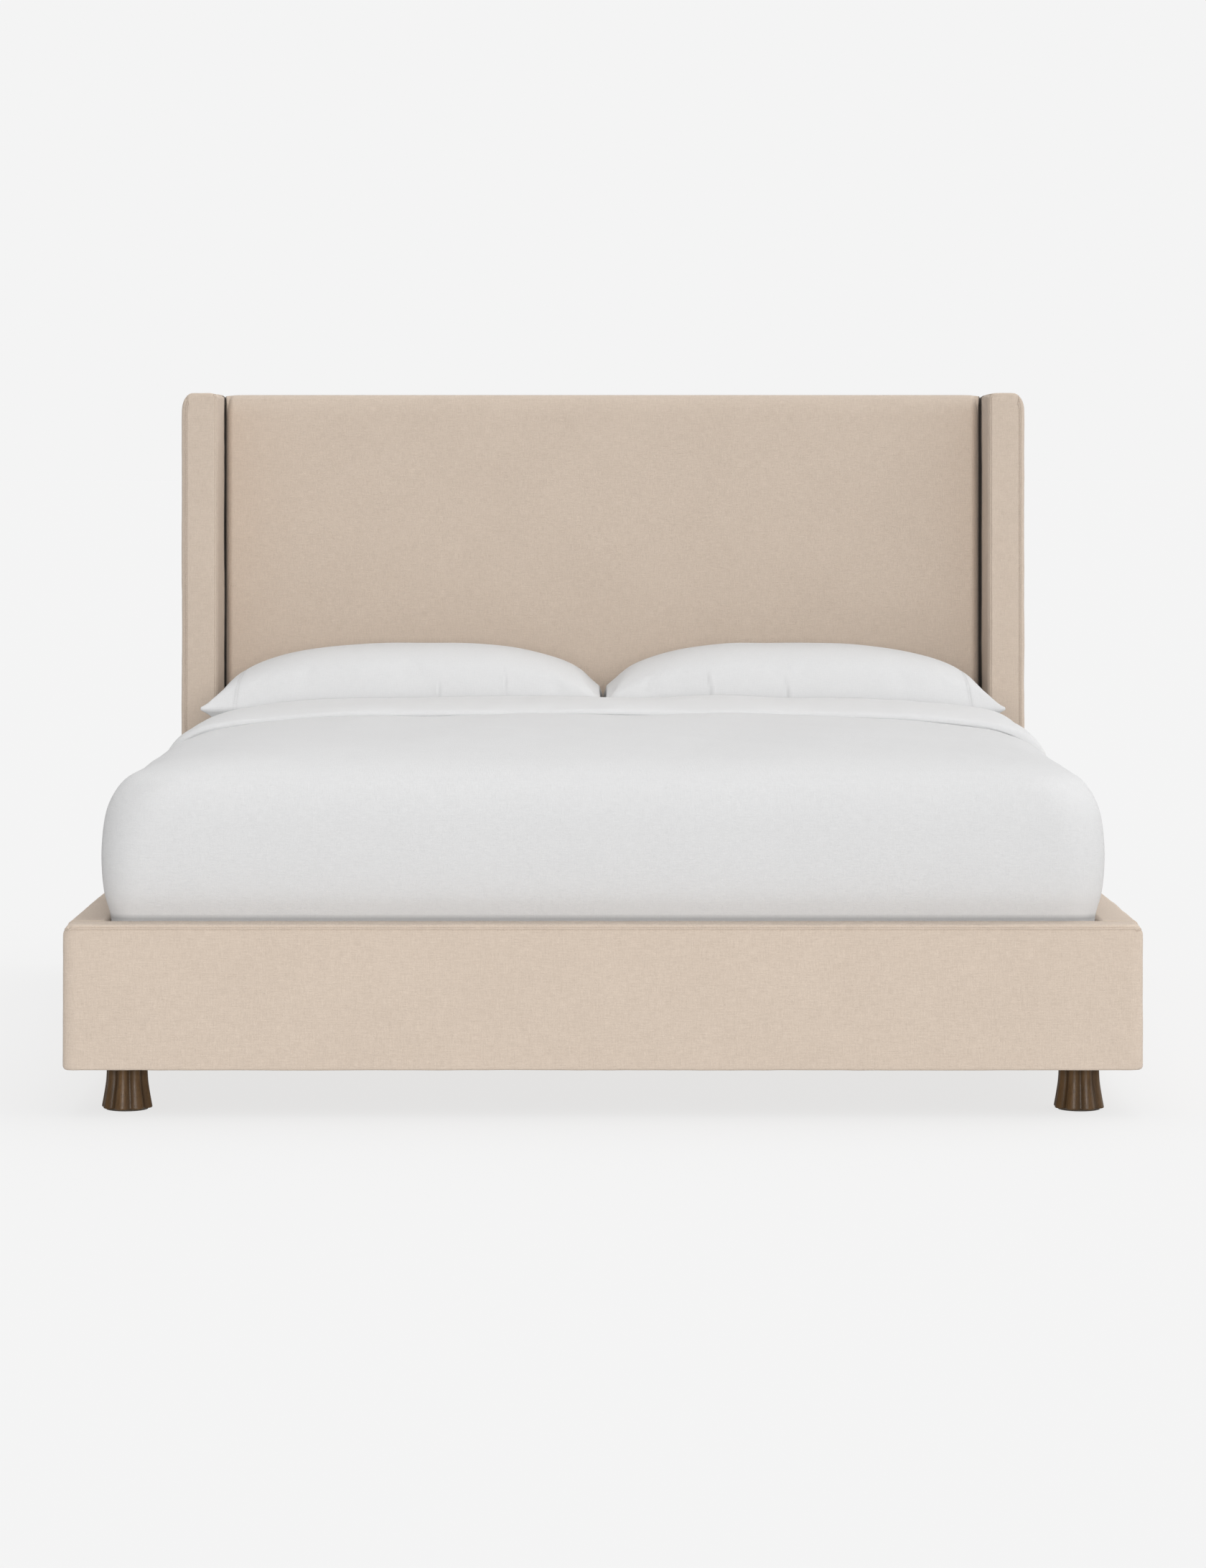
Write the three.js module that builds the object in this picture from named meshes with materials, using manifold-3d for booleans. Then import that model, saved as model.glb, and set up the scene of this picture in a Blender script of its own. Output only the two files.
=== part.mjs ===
// Queen-size upholstered bed: padded rails, winged headboard, fluted legs, slatted base and bedding.
// Millimetres, +Z up. The origin is on the floor under the middle of the bed; the foot end faces -Y.
import * as THREE from 'three';
import { RoundedBoxGeometry } from 'three/addons/geometries/RoundedBoxGeometry.js';
import { mergeVertices } from 'three/addons/utils/BufferGeometryUtils.js';
import Module from 'manifold-3d';

// Driving dimensions of the frame
const BED_WIDTH = 1727;
const BED_LENGTH = 2210;
const RAIL_BOTTOM = 74;
const RAIL_TOP = 307;
const RAIL_THICKNESS = 64;
const HEADBOARD_TOP = 1193;
const WING_THICKNESS = 75;
const WING_DEPTH = 230;
const PANEL_DEPTH = 86;
const BACK_COVER_THICKNESS = 5;
const GAP = 0.3;

// Padding between a board and the outside of its cover
const RAIL_PAD = 12;
const WING_PAD = 14;
const PANEL_FRONT_PAD = 24;
const PANEL_TOP_PAD = 22;
const BOARD_THICKNESS = 40;

// Base
const SLAT_COUNT = 12;
const SLAT_WIDTH = 98;
const SLAT_THICKNESS = 18;
const SLAT_PITCH = 172;
const SLAT_TOP = 245;
const LEDGER_HEIGHT = 40;
const LEDGER_WIDTH = 22;
const BEAM_WIDTH = 44;
const BEAM_HEIGHT = 62;
const SUPPORT_LEG_BOTTOM = 26;
const SUPPORT_LEG_PLACES = [-360, 340];

// Fluted legs
const LEG_INSET = 94;
const LEG_LOBES = 8;
const FLUTE_DEPTH = 3.6;
const GLIDE_HEIGHT = 2.4;
const BOLT_RADIUS = 4;
const BLOCK_SIZE = 120;
const BLOCK_HEIGHT = 45;

// Mattress and bedding
const MATTRESS = { width: 1524, length: 2032, height: 280, edge: 40 };
const MATTRESS_FOOT_GAP = 18;
const SHEET_THICKNESS = 3;
const DUVET_BOTTOM = 262;
const FOLD_FRONT = 145;
const FOLD_BACK = 495;
const PILLOW = { width: 776, depth: 496, height: 157 };

// Places worked out from them
const SIDE = BED_WIDTH / 2;
const FOOT = -BED_LENGTH / 2;
const HEAD = BED_LENGTH / 2;
const RAIL_INNER_X = SIDE - RAIL_THICKNESS;
const FOOTBOARD_BACK = FOOT + RAIL_THICKNESS;
const WING_FRONT = HEAD - WING_DEPTH;
const WING_INNER_X = SIDE - WING_THICKNESS;
const PANEL_FRONT = HEAD - PANEL_DEPTH;
const UPHOLSTERY_BACK = HEAD - BACK_COVER_THICKNESS - GAP;
const BASE_MIDDLE = (FOOTBOARD_BACK + PANEL_FRONT) / 2;
const SLAT_BOTTOM = SLAT_TOP - SLAT_THICKNESS;
const MATTRESS_BOTTOM = SLAT_TOP + GAP;
const MATTRESS_MIDDLE = FOOTBOARD_BACK + MATTRESS_FOOT_GAP + MATTRESS.length / 2;
const MATTRESS_TOP = MATTRESS_BOTTOM + MATTRESS.height;
const SHEET_TOP = MATTRESS_TOP + GAP + SHEET_THICKNESS;

const wasm = await Module();
wasm.setup();

const finish = (color, roughness, metalness = 0) => (
  new THREE.MeshStandardMaterial({ color, roughness, metalness }));
const MATERIALS = {
  upholstery: () => finish(0xd2c2b3, 0.95),
  lining: () => finish(0xb9aa9c, 0.95),
  board: () => finish(0xc9a777, 0.7),
  slat: () => finish(0xd8bd92, 0.65),
  walnut: () => finish(0x655646, 0.4),
  steel: () => finish(0x3a3a3c, 0.45, 0.8),
  zinc: () => finish(0xb5b8ba, 0.35, 0.9),
  plastic: () => finish(0x2c2b2a, 0.7),
  felt: () => finish(0x4b443d, 1),
  ticking: () => finish(0xeae7e2, 0.95),
  linen: () => finish(0xe1dfdd, 0.95),
};

const bed = new THREE.Group();

function place(name, geometry, material, x = 0, y = 0, z = 0) {
  const mesh = new THREE.Mesh(geometry, MATERIALS[material]());
  mesh.name = name;
  mesh.position.set(x, y, z);
  bed.add(mesh);
  return mesh;
}

// Solids -----------------------------------------------------------------------------------------

function toSolid(geometry) {
  const bare = geometry.clone();
  bare.deleteAttribute('normal');
  bare.deleteAttribute('uv');
  const merged = mergeVertices(bare, 0.001);
  const vertProperties = new Float32Array(merged.attributes.position.array);
  const triVerts = new Uint32Array(merged.index.array);
  return new wasm.Manifold(new wasm.Mesh({ numProp: 3, vertProperties, triVerts }));
}

function toGeometry(solid) {
  const mesh = solid.getMesh();
  const geometry = new THREE.BufferGeometry();
  geometry.setAttribute('position', new THREE.BufferAttribute(mesh.vertProperties, 3));
  geometry.setIndex(new THREE.BufferAttribute(mesh.triVerts, 1));
  geometry.computeVertexNormals();
  return geometry;
}

function cut(geometry, ...tools) {
  const remainder = tools.reduce((solid, tool) => solid.subtract(toSolid(tool)), toSolid(geometry));
  return toGeometry(remainder);
}

function join(first, second) {
  return toGeometry(toSolid(first).add(toSolid(second)));
}

// An outline between two corners, with its own radius at each corner: lower left, lower right, upper right,
// upper left.
function outline(left, bottom, right, top, radii) {
  const [lowerLeft, lowerRight, upperRight, upperLeft] = radii;
  const shape = new THREE.Shape();
  shape.moveTo(left + lowerLeft, bottom);
  shape.absarc(right - lowerRight, bottom + lowerRight, lowerRight, -Math.PI / 2, 0);
  shape.absarc(right - upperRight, top - upperRight, upperRight, 0, Math.PI / 2);
  shape.absarc(left + upperLeft, top - upperLeft, upperLeft, Math.PI / 2, Math.PI);
  shape.absarc(left + lowerLeft, bottom + lowerLeft, lowerLeft, Math.PI, Math.PI * 1.5);
  return shape;
}

function polygon(points) {
  return new THREE.Shape(points.map(([u, v]) => new THREE.Vector2(u, v)));
}

function extrude(shape, length, bevel = 0) {
  const options = {
    depth: length - 2 * bevel,
    curveSegments: 4,
    bevelEnabled: bevel > 0,
    bevelThickness: bevel,
    bevelSize: bevel,
    bevelOffset: -bevel,
    bevelSegments: 2,
  };
  return new THREE.ExtrudeGeometry(shape, options).translate(0, 0, bevel - length / 2);
}

// A section drawn in Y and Z, run along X about x = 0
function alongX(shape, length, bevel = 0) {
  return extrude(shape, length, bevel).rotateX(Math.PI / 2).rotateZ(Math.PI / 2);
}

// A section drawn in X and Z, run along Y from one place to another
function alongY(shape, start, end, bevel = 0) {
  return extrude(shape, end - start, bevel).rotateX(Math.PI / 2).translate(0, (start + end) / 2, 0);
}

// A plan drawn in X and Y, run up from bottom to top
function alongZ(shape, bottom, top) {
  return extrude(shape, top - bottom).translate(0, 0, (bottom + top) / 2);
}

function block(x0, x1, y0, y1, z0, z1) {
  const geometry = new THREE.BoxGeometry(x1 - x0, y1 - y0, z1 - z0);
  return geometry.translate((x0 + x1) / 2, (y0 + y1) / 2, (z0 + z1) / 2);
}

function softBlock(x0, x1, y0, y1, z0, z1, radius) {
  const geometry = new RoundedBoxGeometry(x1 - x0, y1 - y0, z1 - z0, 2, radius);
  return geometry.translate((x0 + x1) / 2, (y0 + y1) / 2, (z0 + z1) / 2);
}

function rod(radius, bottom, top, sides = 12) {
  const geometry = new THREE.CylinderGeometry(radius, radius, top - bottom, sides);
  return geometry.rotateX(Math.PI / 2).translate(0, 0, (bottom + top) / 2);
}

// Closed body through level rings of equal length, capped by a fan at each end
function loft(rings) {
  const count = rings[0].length;
  const points = rings.flat();
  const faces = [];
  for (let level = 0; level < rings.length - 1; level += 1) {
    for (let i = 0; i < count; i += 1) {
      const a = level * count + i;
      const b = level * count + ((i + 1) % count);
      faces.push(a, b, b + count, a, b + count, a + count);
    }
  }
  const middle = (ring) => ring.reduce((sum, p) => sum.add(p), new THREE.Vector3()).divideScalar(count);
  points.push(middle(rings[0]), middle(rings.at(-1)));
  const last = (rings.length - 1) * count;
  for (let i = 0; i < count; i += 1) {
    const next = (i + 1) % count;
    faces.push(points.length - 2, next, i);
    faces.push(points.length - 1, last + i, last + next);
  }
  const geometry = new THREE.BufferGeometry().setFromPoints(points);
  geometry.setIndex(faces);
  geometry.computeVertexNormals();
  return geometry;
}

const sides = [['left', -1], ['right', 1]];

// Mirrors an outline drawn for the right side when it is wanted on the left
function handed(points, sign) {
  const placed = points.map(([x, y]) => [x * sign, y]);
  return polygon(sign > 0 ? placed : placed.reverse());
}

// Rails ------------------------------------------------------------------------------------------

function addFootboard() {
  const near = FOOT + RAIL_PAD;
  const far = near + BOARD_THICKNESS;
  const low = RAIL_BOTTOM + RAIL_PAD;
  const high = RAIL_TOP - RAIL_PAD;
  const half = SIDE - RAIL_PAD;
  const section = outline(FOOT, RAIL_BOTTOM, FOOTBOARD_BACK, RAIL_TOP, [6, 6, 9, 9]);
  const pocket = block(-half - GAP, half + GAP, near - GAP, far + GAP, low - GAP, high + GAP);
  const stapleGap = block(-half, half, near + 8, far - 8, RAIL_BOTTOM - 1, low);
  place('footboard_core', block(-half, half, near, far, low, high), 'board');
  place('footboard_cover', cut(alongX(section, BED_WIDTH, 5), pocket, stapleGap), 'upholstery');
}

function addSideRail(side, sign) {
  const front = FOOTBOARD_BACK + GAP;
  const back = WING_FRONT - GAP;
  const low = RAIL_BOTTOM + RAIL_PAD;
  const high = RAIL_TOP - RAIL_PAD;
  const half = BOARD_THICKNESS / 2;
  const middle = sign * (SIDE - RAIL_THICKNESS / 2);
  const section = outline(-RAIL_THICKNESS / 2, RAIL_BOTTOM, RAIL_THICKNESS / 2, RAIL_TOP, [6, 6, 9, 9]);
  section.holes.push(outline(-half - GAP, low - GAP, half + GAP, high + GAP, [1, 1, 1, 1]));
  place(`side_rail_core_${side}`, block(-half, half, front, back, low, high), 'board', middle);
  place(`side_rail_cover_${side}`, alongY(section, front, back), 'upholstery', middle);
}

// Headboard --------------------------------------------------------------------------------------

function addWing(side, sign) {
  const half = WING_THICKNESS / 2;
  const board = half - WING_PAD;
  const front = WING_FRONT + WING_PAD;
  const back = UPHOLSTERY_BACK - WING_PAD;
  const low = RAIL_BOTTOM + RAIL_PAD;
  const high = HEADBOARD_TOP - WING_PAD;
  const crown = sign > 0 ? [7, 7, 27, 20] : [7, 7, 20, 27];
  const middle = sign * (SIDE - half);
  const section = outline(-half, RAIL_BOTTOM, half, HEADBOARD_TOP, crown);
  const body = alongY(section, WING_FRONT, UPHOLSTERY_BACK, 6);
  const pocket = block(-board - GAP, board + GAP, front - GAP, back + GAP, low - GAP, high + GAP);
  const stapleGap = block(-board + 8, board - 8, front, back, RAIL_BOTTOM - 1, low);
  place(`wing_core_${side}`, block(-board, board, front, back, low, high), 'board', middle);
  place(`wing_cover_${side}`, cut(body, pocket, stapleGap), 'upholstery', middle);
}

function addHeadboardPanel() {
  const half = WING_INNER_X - GAP;
  const front = PANEL_FRONT + PANEL_FRONT_PAD;
  const back = front + BOARD_THICKNESS;
  const low = RAIL_BOTTOM + RAIL_PAD;
  const high = HEADBOARD_TOP - PANEL_TOP_PAD;
  const section = outline(PANEL_FRONT, RAIL_BOTTOM, UPHOLSTERY_BACK, HEADBOARD_TOP, [7, 7, 16, 28]);
  section.holes.push(outline(front - GAP, low - GAP, back + GAP, high + GAP, [1, 1, 1, 1]));
  place('headboard_core', block(-half, half, front, back, low, high), 'board');
  place('headboard_panel_cover', alongX(section, 2 * half), 'upholstery');
}

function addHeadboardBack() {
  const margin = 12;
  const half = SIDE - margin;
  const shape = outline(-half, RAIL_BOTTOM + margin, half, HEADBOARD_TOP - margin, [8, 8, 22, 22]);
  place('headboard_back_cover', alongY(shape, HEAD - BACK_COVER_THICKNESS, HEAD), 'lining');
}

// Joints between the rails, and the legs -----------------------------------------------------------

const BRACKET = { bottom: 122, top: 182, reach: 72, steel: 4 };

// Steel angle in the corner between the footboard and a side rail
function addFootBracket(side, sign) {
  const x = RAIL_INNER_X - GAP;
  const y = FOOTBOARD_BACK + GAP;
  const { bottom, top, reach, steel } = BRACKET;
  const corner = [
    [x, y], [x, y + reach], [x - steel, y + reach], [x - steel, y + steel], [x - reach, y + steel],
    [x - reach, y],
  ];
  place(`corner_bracket_foot_${side}`, alongZ(handed(corner, sign), bottom, top), 'steel');
}

// Stepped steel plate from a side rail to the thicker wing behind it
function addHeadBracket(side, sign) {
  const rail = RAIL_INNER_X - GAP;
  const wing = WING_INNER_X - GAP;
  const { bottom, top, reach, steel } = BRACKET;
  const step = WING_FRONT - GAP;
  const plate = [
    [rail, step - reach], [rail, step - steel], [wing, step - steel], [wing, step + reach],
    [wing - steel, step + reach], [wing - steel, step - 2 * steel], [rail - steel, step - 2 * steel],
    [rail - steel, step - reach],
  ];
  place(`corner_bracket_head_${side}`, alongZ(handed(plate, sign), bottom, top), 'steel');
}

const LEG_X = SIDE - LEG_INSET;
const LEG_FOOT_Y = FOOT + LEG_INSET;
const LEG_HEAD_Y = PANEL_FRONT - 38;
const LEG_TOP = RAIL_BOTTOM - GAP;
const BOLT_BOTTOM = 40;
const BOLT_TOP = RAIL_BOTTOM + BLOCK_HEIGHT - 9;

// Corner block: a chamfered square of hardwood that the leg's bolt screws into
function cornerBlock(outerX, outerY, legX, legY) {
  const inward = -Math.sign(outerY);
  const chamfer = BLOCK_SIZE * 0.45;
  const plan = [
    [outerX, outerY], [outerX, outerY + inward * BLOCK_SIZE],
    [outerX - BLOCK_SIZE + chamfer, outerY + inward * BLOCK_SIZE],
    [outerX - BLOCK_SIZE, outerY + inward * (BLOCK_SIZE - chamfer)], [outerX - BLOCK_SIZE, outerY],
  ];
  const top = RAIL_BOTTOM + BLOCK_HEIGHT;
  const hole = rod(BOLT_RADIUS + GAP, RAIL_BOTTOM - 1, top + 1).translate(legX, legY, 0);
  return (sign) => {
    const shape = handed(inward > 0 ? plan.toReversed() : plan, sign);
    return cut(alongZ(shape, RAIL_BOTTOM, top), hole.clone().translate((sign - 1) * legX, 0, 0));
  };
}

// Radius of the leg over its lobes, at a height from the floor
const LEG_PROFILE = new THREE.SplineCurve([
  new THREE.Vector2(GLIDE_HEIGHT + GAP, 40.6),
  new THREE.Vector2(5, 41.6),
  new THREE.Vector2(16, 39.4),
  new THREE.Vector2(27, 37.5),
  new THREE.Vector2(38, 35.6),
  new THREE.Vector2(48, 34.3),
  new THREE.Vector2(60, 33.8),
  new THREE.Vector2(LEG_TOP, 33.6),
]);

function legRing(height, radius) {
  const perLobe = 4;
  const steps = LEG_LOBES * perLobe;
  return Array.from({ length: steps }, (_, i) => {
    const across = (2 * (i % perLobe)) / perLobe - 1;
    const angle = (2 * Math.PI * i) / steps;
    const reach = radius - FLUTE_DEPTH * across ** 2;
    return new THREE.Vector3(reach * Math.cos(angle), reach * Math.sin(angle), height);
  });
}

function legGeometry() {
  const rings = LEG_PROFILE.getPoints(9).map(({ x, y }) => legRing(x, y));
  return cut(loft(rings), rod(BOLT_RADIUS + GAP, BOLT_BOTTOM - GAP, LEG_TOP + 1));
}

function addLeg(name, x, y) {
  place(`leg_${name}`, legGeometry(), 'walnut', x, y);
  place(`leg_bolt_${name}`, rod(BOLT_RADIUS, BOLT_BOTTOM, BOLT_TOP), 'zinc', x, y);
  place(`leg_glide_${name}`, rod(34, 0, GLIDE_HEIGHT, 24), 'felt', x, y);
}

function addCorners(side, sign) {
  const footBlock = cornerBlock(RAIL_INNER_X - GAP, FOOTBOARD_BACK + GAP, LEG_X, LEG_FOOT_Y);
  const headBlock = cornerBlock(WING_INNER_X - GAP, PANEL_FRONT - GAP, LEG_X, LEG_HEAD_Y);
  place(`corner_block_foot_${side}`, footBlock(sign), 'board');
  place(`corner_block_head_${side}`, headBlock(sign), 'board');
  addFootBracket(side, sign);
  addHeadBracket(side, sign);
  addLeg(`foot_${side}`, sign * LEG_X, LEG_FOOT_Y);
  addLeg(`head_${side}`, sign * LEG_X, LEG_HEAD_Y);
}

// Slatted base -----------------------------------------------------------------------------------

// Ledger: a batten on the rail, stepped in where it runs past the thicker wing
function addLedger(side, sign) {
  const inner = WING_INNER_X - GAP - LEDGER_WIDTH;
  const plan = [
    [inner, FOOTBOARD_BACK + 6], [RAIL_INNER_X - GAP, FOOTBOARD_BACK + 6],
    [RAIL_INNER_X - GAP, WING_FRONT - GAP], [WING_INNER_X - GAP, WING_FRONT - GAP],
    [WING_INNER_X - GAP, PANEL_FRONT - 6], [inner, PANEL_FRONT - 6],
  ];
  const top = SLAT_BOTTOM - GAP;
  place(`ledger_${side}`, alongZ(handed(plan, sign), top - LEDGER_HEIGHT, top), 'board');
}

function addSlats() {
  const half = WING_INNER_X - 2;
  for (let i = 0; i < SLAT_COUNT; i += 1) {
    const y = BASE_MIDDLE + (i - (SLAT_COUNT - 1) / 2) * SLAT_PITCH;
    const section = outline(-SLAT_WIDTH / 2, SLAT_BOTTOM, SLAT_WIDTH / 2, SLAT_TOP, [2, 2, 4, 4]);
    place(`slat_${i + 1}`, alongX(section, 2 * half), 'slat', 0, y);
  }
}

const BEAM_TOP = SLAT_BOTTOM - GAP;
const BEAM_BOTTOM = BEAM_TOP - BEAM_HEIGHT;

// Steel cup that holds one end of the beam
function beamCup() {
  const steel = 3;
  const inner = BEAM_WIDTH / 2 + GAP;
  const outer = inner + steel;
  const low = BEAM_BOTTOM - GAP;
  const high = BEAM_BOTTOM + BEAM_HEIGHT - 8;
  return polygon([
    [-outer, low - steel], [outer, low - steel], [outer, high], [inner, high], [inner, low], [-inner, low],
    [-inner, high], [-outer, high],
  ]);
}

function addBeam() {
  const half = BEAM_WIDTH / 2;
  const front = FOOTBOARD_BACK + GAP;
  const back = PANEL_FRONT - GAP;
  const cupLength = 42;
  place('centre_beam', block(-half, half, front, back, BEAM_BOTTOM, BEAM_TOP), 'board');
  place('beam_bracket_foot', alongY(beamCup(), front, front + cupLength), 'steel');
  place('beam_bracket_head', alongY(beamCup(), back - cupLength, back), 'steel');
}

// Post under the beam, bored for its levelling foot
function addSupportLeg(number, y) {
  const half = BEAM_WIDTH / 2;
  const stem = 5;
  const bore = rod(stem + 0.4, SUPPORT_LEG_BOTTOM - 1, SUPPORT_LEG_BOTTOM + 56);
  const post = block(-half, half, -half, half, SUPPORT_LEG_BOTTOM, BEAM_BOTTOM - GAP);
  const profile = [[0, 0], [21, 0], [22, 1], [22, 5], [18, 8], [stem, 9], [stem, 66], [0, 66]];
  const points = profile.map(([radius, height]) => new THREE.Vector2(radius, height));
  const foot = new THREE.LatheGeometry(points, 20).rotateX(Math.PI / 2);
  place(`support_leg_${number}`, cut(post, bore), 'board', 0, y);
  place(`support_foot_${number}`, foot, 'plastic', 0, y);
}

// Mattress and bedding -----------------------------------------------------------------------------

// The mattress grown by a margin on every face
function mattressBody(margin, bottom = MATTRESS_BOTTOM - margin) {
  const halfWidth = MATTRESS.width / 2 + margin;
  const halfLength = MATTRESS.length / 2 + margin;
  const front = MATTRESS_MIDDLE - halfLength;
  const back = MATTRESS_MIDDLE + halfLength;
  return softBlock(-halfWidth, halfWidth, front, back, bottom, MATTRESS_TOP + margin, MATTRESS.edge + margin);
}

function addMattress() {
  const cavity = mattressBody(GAP, MATTRESS_BOTTOM - 60);
  const skirt = MATTRESS_BOTTOM + 20;
  const below = block(-900, 900, -1200, 1200, skirt - 200, skirt);
  place('mattress', mattressBody(0), 'ticking');
  place('fitted_sheet', cut(mattressBody(GAP + SHEET_THICKNESS), cavity, below), 'linen');
}

// Level ring of the duvet: square at the back, rounded at the two foot corners
function duvetRing(halfWidth, front, radius, z) {
  const steps = 4;
  const ring = [new THREE.Vector3(halfWidth, FOLD_BACK, z), new THREE.Vector3(-halfWidth, FOLD_BACK, z)];
  for (const [centre, start] of [[radius - halfWidth, Math.PI], [halfWidth - radius, Math.PI * 1.5]]) {
    for (let i = 0; i <= steps; i += 1) {
      const angle = start + (i / steps) * (Math.PI / 2);
      const x = centre + radius * Math.cos(angle);
      ring.push(new THREE.Vector3(x, front + radius + radius * Math.sin(angle), z));
    }
  }
  return ring;
}

// Half-width, setback from the inside of the footboard, corner radius and height of each level of the duvet
const DUVET_LEVELS = [
  [796, 3, 40, DUVET_BOTTOM],
  [797, 3, 40, RAIL_TOP],
  [811, -8, 60, 352],
  [817, -14, 75, 425],
  [812, -8, 90, 490],
  [796, 12, 100, 526],
  [760, 52, 110, 545],
  [680, 130, 130, 560],
  [500, 330, 160, 572],
  [260, 560, 200, 578],
];

// Right half of the folded-back band's section, from the top down and back up inside the duvet
const FOLD_OUTSIDE = [
  [300, 598], [560, 592], [690, 579], [772, 558], [808, 538], [830, 500], [836, 440], [826, 360],
];
const FOLD_INSIDE = [[800, 345], [700, 345]];

function foldSection() {
  const right = [...FOLD_OUTSIDE, ...FOLD_INSIDE];
  const left = right.map(([x, z]) => [-x, z]).reverse();
  return polygon([...right.reverse(), ...left.reverse()]);
}

function addDuvet() {
  const rings = DUVET_LEVELS.map(([half, setback, radius, z]) => (
    duvetRing(half, FOOTBOARD_BACK + setback, radius, z)));
  const folded = join(loft(rings), alongY(foldSection(), FOLD_FRONT, FOLD_BACK, 9));
  place('duvet', cut(folded, mattressBody(GAP * 2 + SHEET_THICKNESS, 100)), 'linen');
}

// Level outline of a pillow: squarer towards its seam, rounder towards its crown
function pillowRing(scale, squareness, height) {
  const steps = 28;
  return Array.from({ length: steps }, (_, i) => {
    const angle = (2 * Math.PI * (i + 0.5)) / steps;
    const power = 2 / squareness;
    const u = Math.sign(Math.cos(angle)) * Math.abs(Math.cos(angle)) ** power;
    const v = Math.sign(Math.sin(angle)) * Math.abs(Math.sin(angle)) ** power;
    const place = new THREE.Vector3(PILLOW.width * scale * u, PILLOW.depth * scale * v, 0).divideScalar(2);
    return place.setZ(PILLOW.height * height);
  });
}

// Share of the plan, squareness and share of the height of each level of a pillow
const PILLOW_LEVELS = [
  [0.68, 3.2, 0], [0.86, 5, 0.05], [0.97, 8, 0.17], [1, 10, 0.27], [0.97, 7, 0.4], [0.9, 5, 0.58],
  [0.76, 3.6, 0.8], [0.55, 2.8, 0.93], [0.3, 2.4, 1],
];

function addPillow(side, sign) {
  const rings = PILLOW_LEVELS.map((level) => pillowRing(...level));
  const y = FOLD_BACK + 6 + PILLOW.depth / 2;
  place(`pillow_${side}`, loft(rings), 'linen', sign * (PILLOW.width / 2 + 1.5), y, SHEET_TOP + GAP);
}

// Assembly -----------------------------------------------------------------------------------------

addFootboard();
addHeadboardPanel();
addHeadboardBack();
for (const [side, sign] of sides) {
  addSideRail(side, sign);
  addWing(side, sign);
  addCorners(side, sign);
  addLedger(side, sign);
}
addSlats();
addBeam();
SUPPORT_LEG_PLACES.forEach((y, i) => addSupportLeg(i + 1, y));
addMattress();
addDuvet();
for (const [side, sign] of sides) {
  addPillow(side, sign);
}

export default bed;
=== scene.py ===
"""The looks of an upholstered bed: padded covers, stitching, fluted legs, a slatted base and made-up bedding.

Metres, +Z up, the foot end towards -Y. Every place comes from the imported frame.
"""
import math

import bpy
import numpy as np
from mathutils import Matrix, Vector
from mathutils.bvhtree import BVHTree


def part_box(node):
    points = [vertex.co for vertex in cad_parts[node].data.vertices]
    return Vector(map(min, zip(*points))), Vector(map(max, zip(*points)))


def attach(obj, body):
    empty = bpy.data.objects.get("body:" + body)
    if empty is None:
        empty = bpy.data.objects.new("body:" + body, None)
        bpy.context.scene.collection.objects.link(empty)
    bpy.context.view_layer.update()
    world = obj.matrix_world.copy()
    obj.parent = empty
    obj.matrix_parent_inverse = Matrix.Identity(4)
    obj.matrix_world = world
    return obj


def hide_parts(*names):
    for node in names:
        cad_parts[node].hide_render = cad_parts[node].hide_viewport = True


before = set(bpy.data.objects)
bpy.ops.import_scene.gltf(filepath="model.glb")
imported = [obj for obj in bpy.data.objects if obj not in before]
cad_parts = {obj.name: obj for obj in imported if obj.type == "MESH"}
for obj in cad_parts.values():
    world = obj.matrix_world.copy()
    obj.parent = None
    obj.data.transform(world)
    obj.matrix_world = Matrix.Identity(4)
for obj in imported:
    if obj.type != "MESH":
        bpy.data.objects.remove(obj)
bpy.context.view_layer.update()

MM = 0.001
SIDES = (("left", -1), ("right", 1))


# Frame sizes ------------------------------------------------------------------------------------

def span(node):
    low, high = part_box(node)
    return np.array(low), np.array(high)


FOOTBOARD_LOW, FOOTBOARD_HIGH = span("footboard_cover")
FOOT_FRONT, FOOT_BACK, RAIL_TOP = FOOTBOARD_LOW[1], FOOTBOARD_HIGH[1], FOOTBOARD_HIGH[2]
PANEL_FRONT = span("headboard_panel_cover")[0][1]


# Mesh building ------------------------------------------------------------------------------------

def make_object(name, points, faces, smooth=True):
    mesh = bpy.data.meshes.new(name)
    mesh.from_pydata([tuple(p) for p in points], [], [tuple(int(i) for i in f) for f in faces])
    mesh.validate()
    mesh.update()
    mesh.polygons.foreach_set("use_smooth", [smooth] * len(mesh.polygons))
    obj = bpy.data.objects.new(name, mesh)
    bpy.context.scene.collection.objects.link(obj)
    return obj


def finish_piece(obj, material, body, slot, *nodes):
    obj.data.materials.clear()
    obj.data.materials.append(material)
    if nodes:
        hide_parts(*nodes)
    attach(obj, body)
    return obj


def lines(low, high, spacing, *fine):
    """Grid lines from low to high, spacing apart, with closer ones near each (place, reach, step)."""
    count = max(1, round((high - low) / spacing))
    places = list(np.linspace(low, high, count + 1))
    for place, reach, step in fine:
        steps = max(1, round(reach / step))
        places += [place + i * step for i in range(-steps, steps + 1)]
    places = sorted(p for p in places if low <= p <= high)
    kept = [low]
    for place in places:
        if place - kept[-1] > 0.3 * MM:
            kept.append(place)
    kept[-1] = high
    return np.array(kept)


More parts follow.
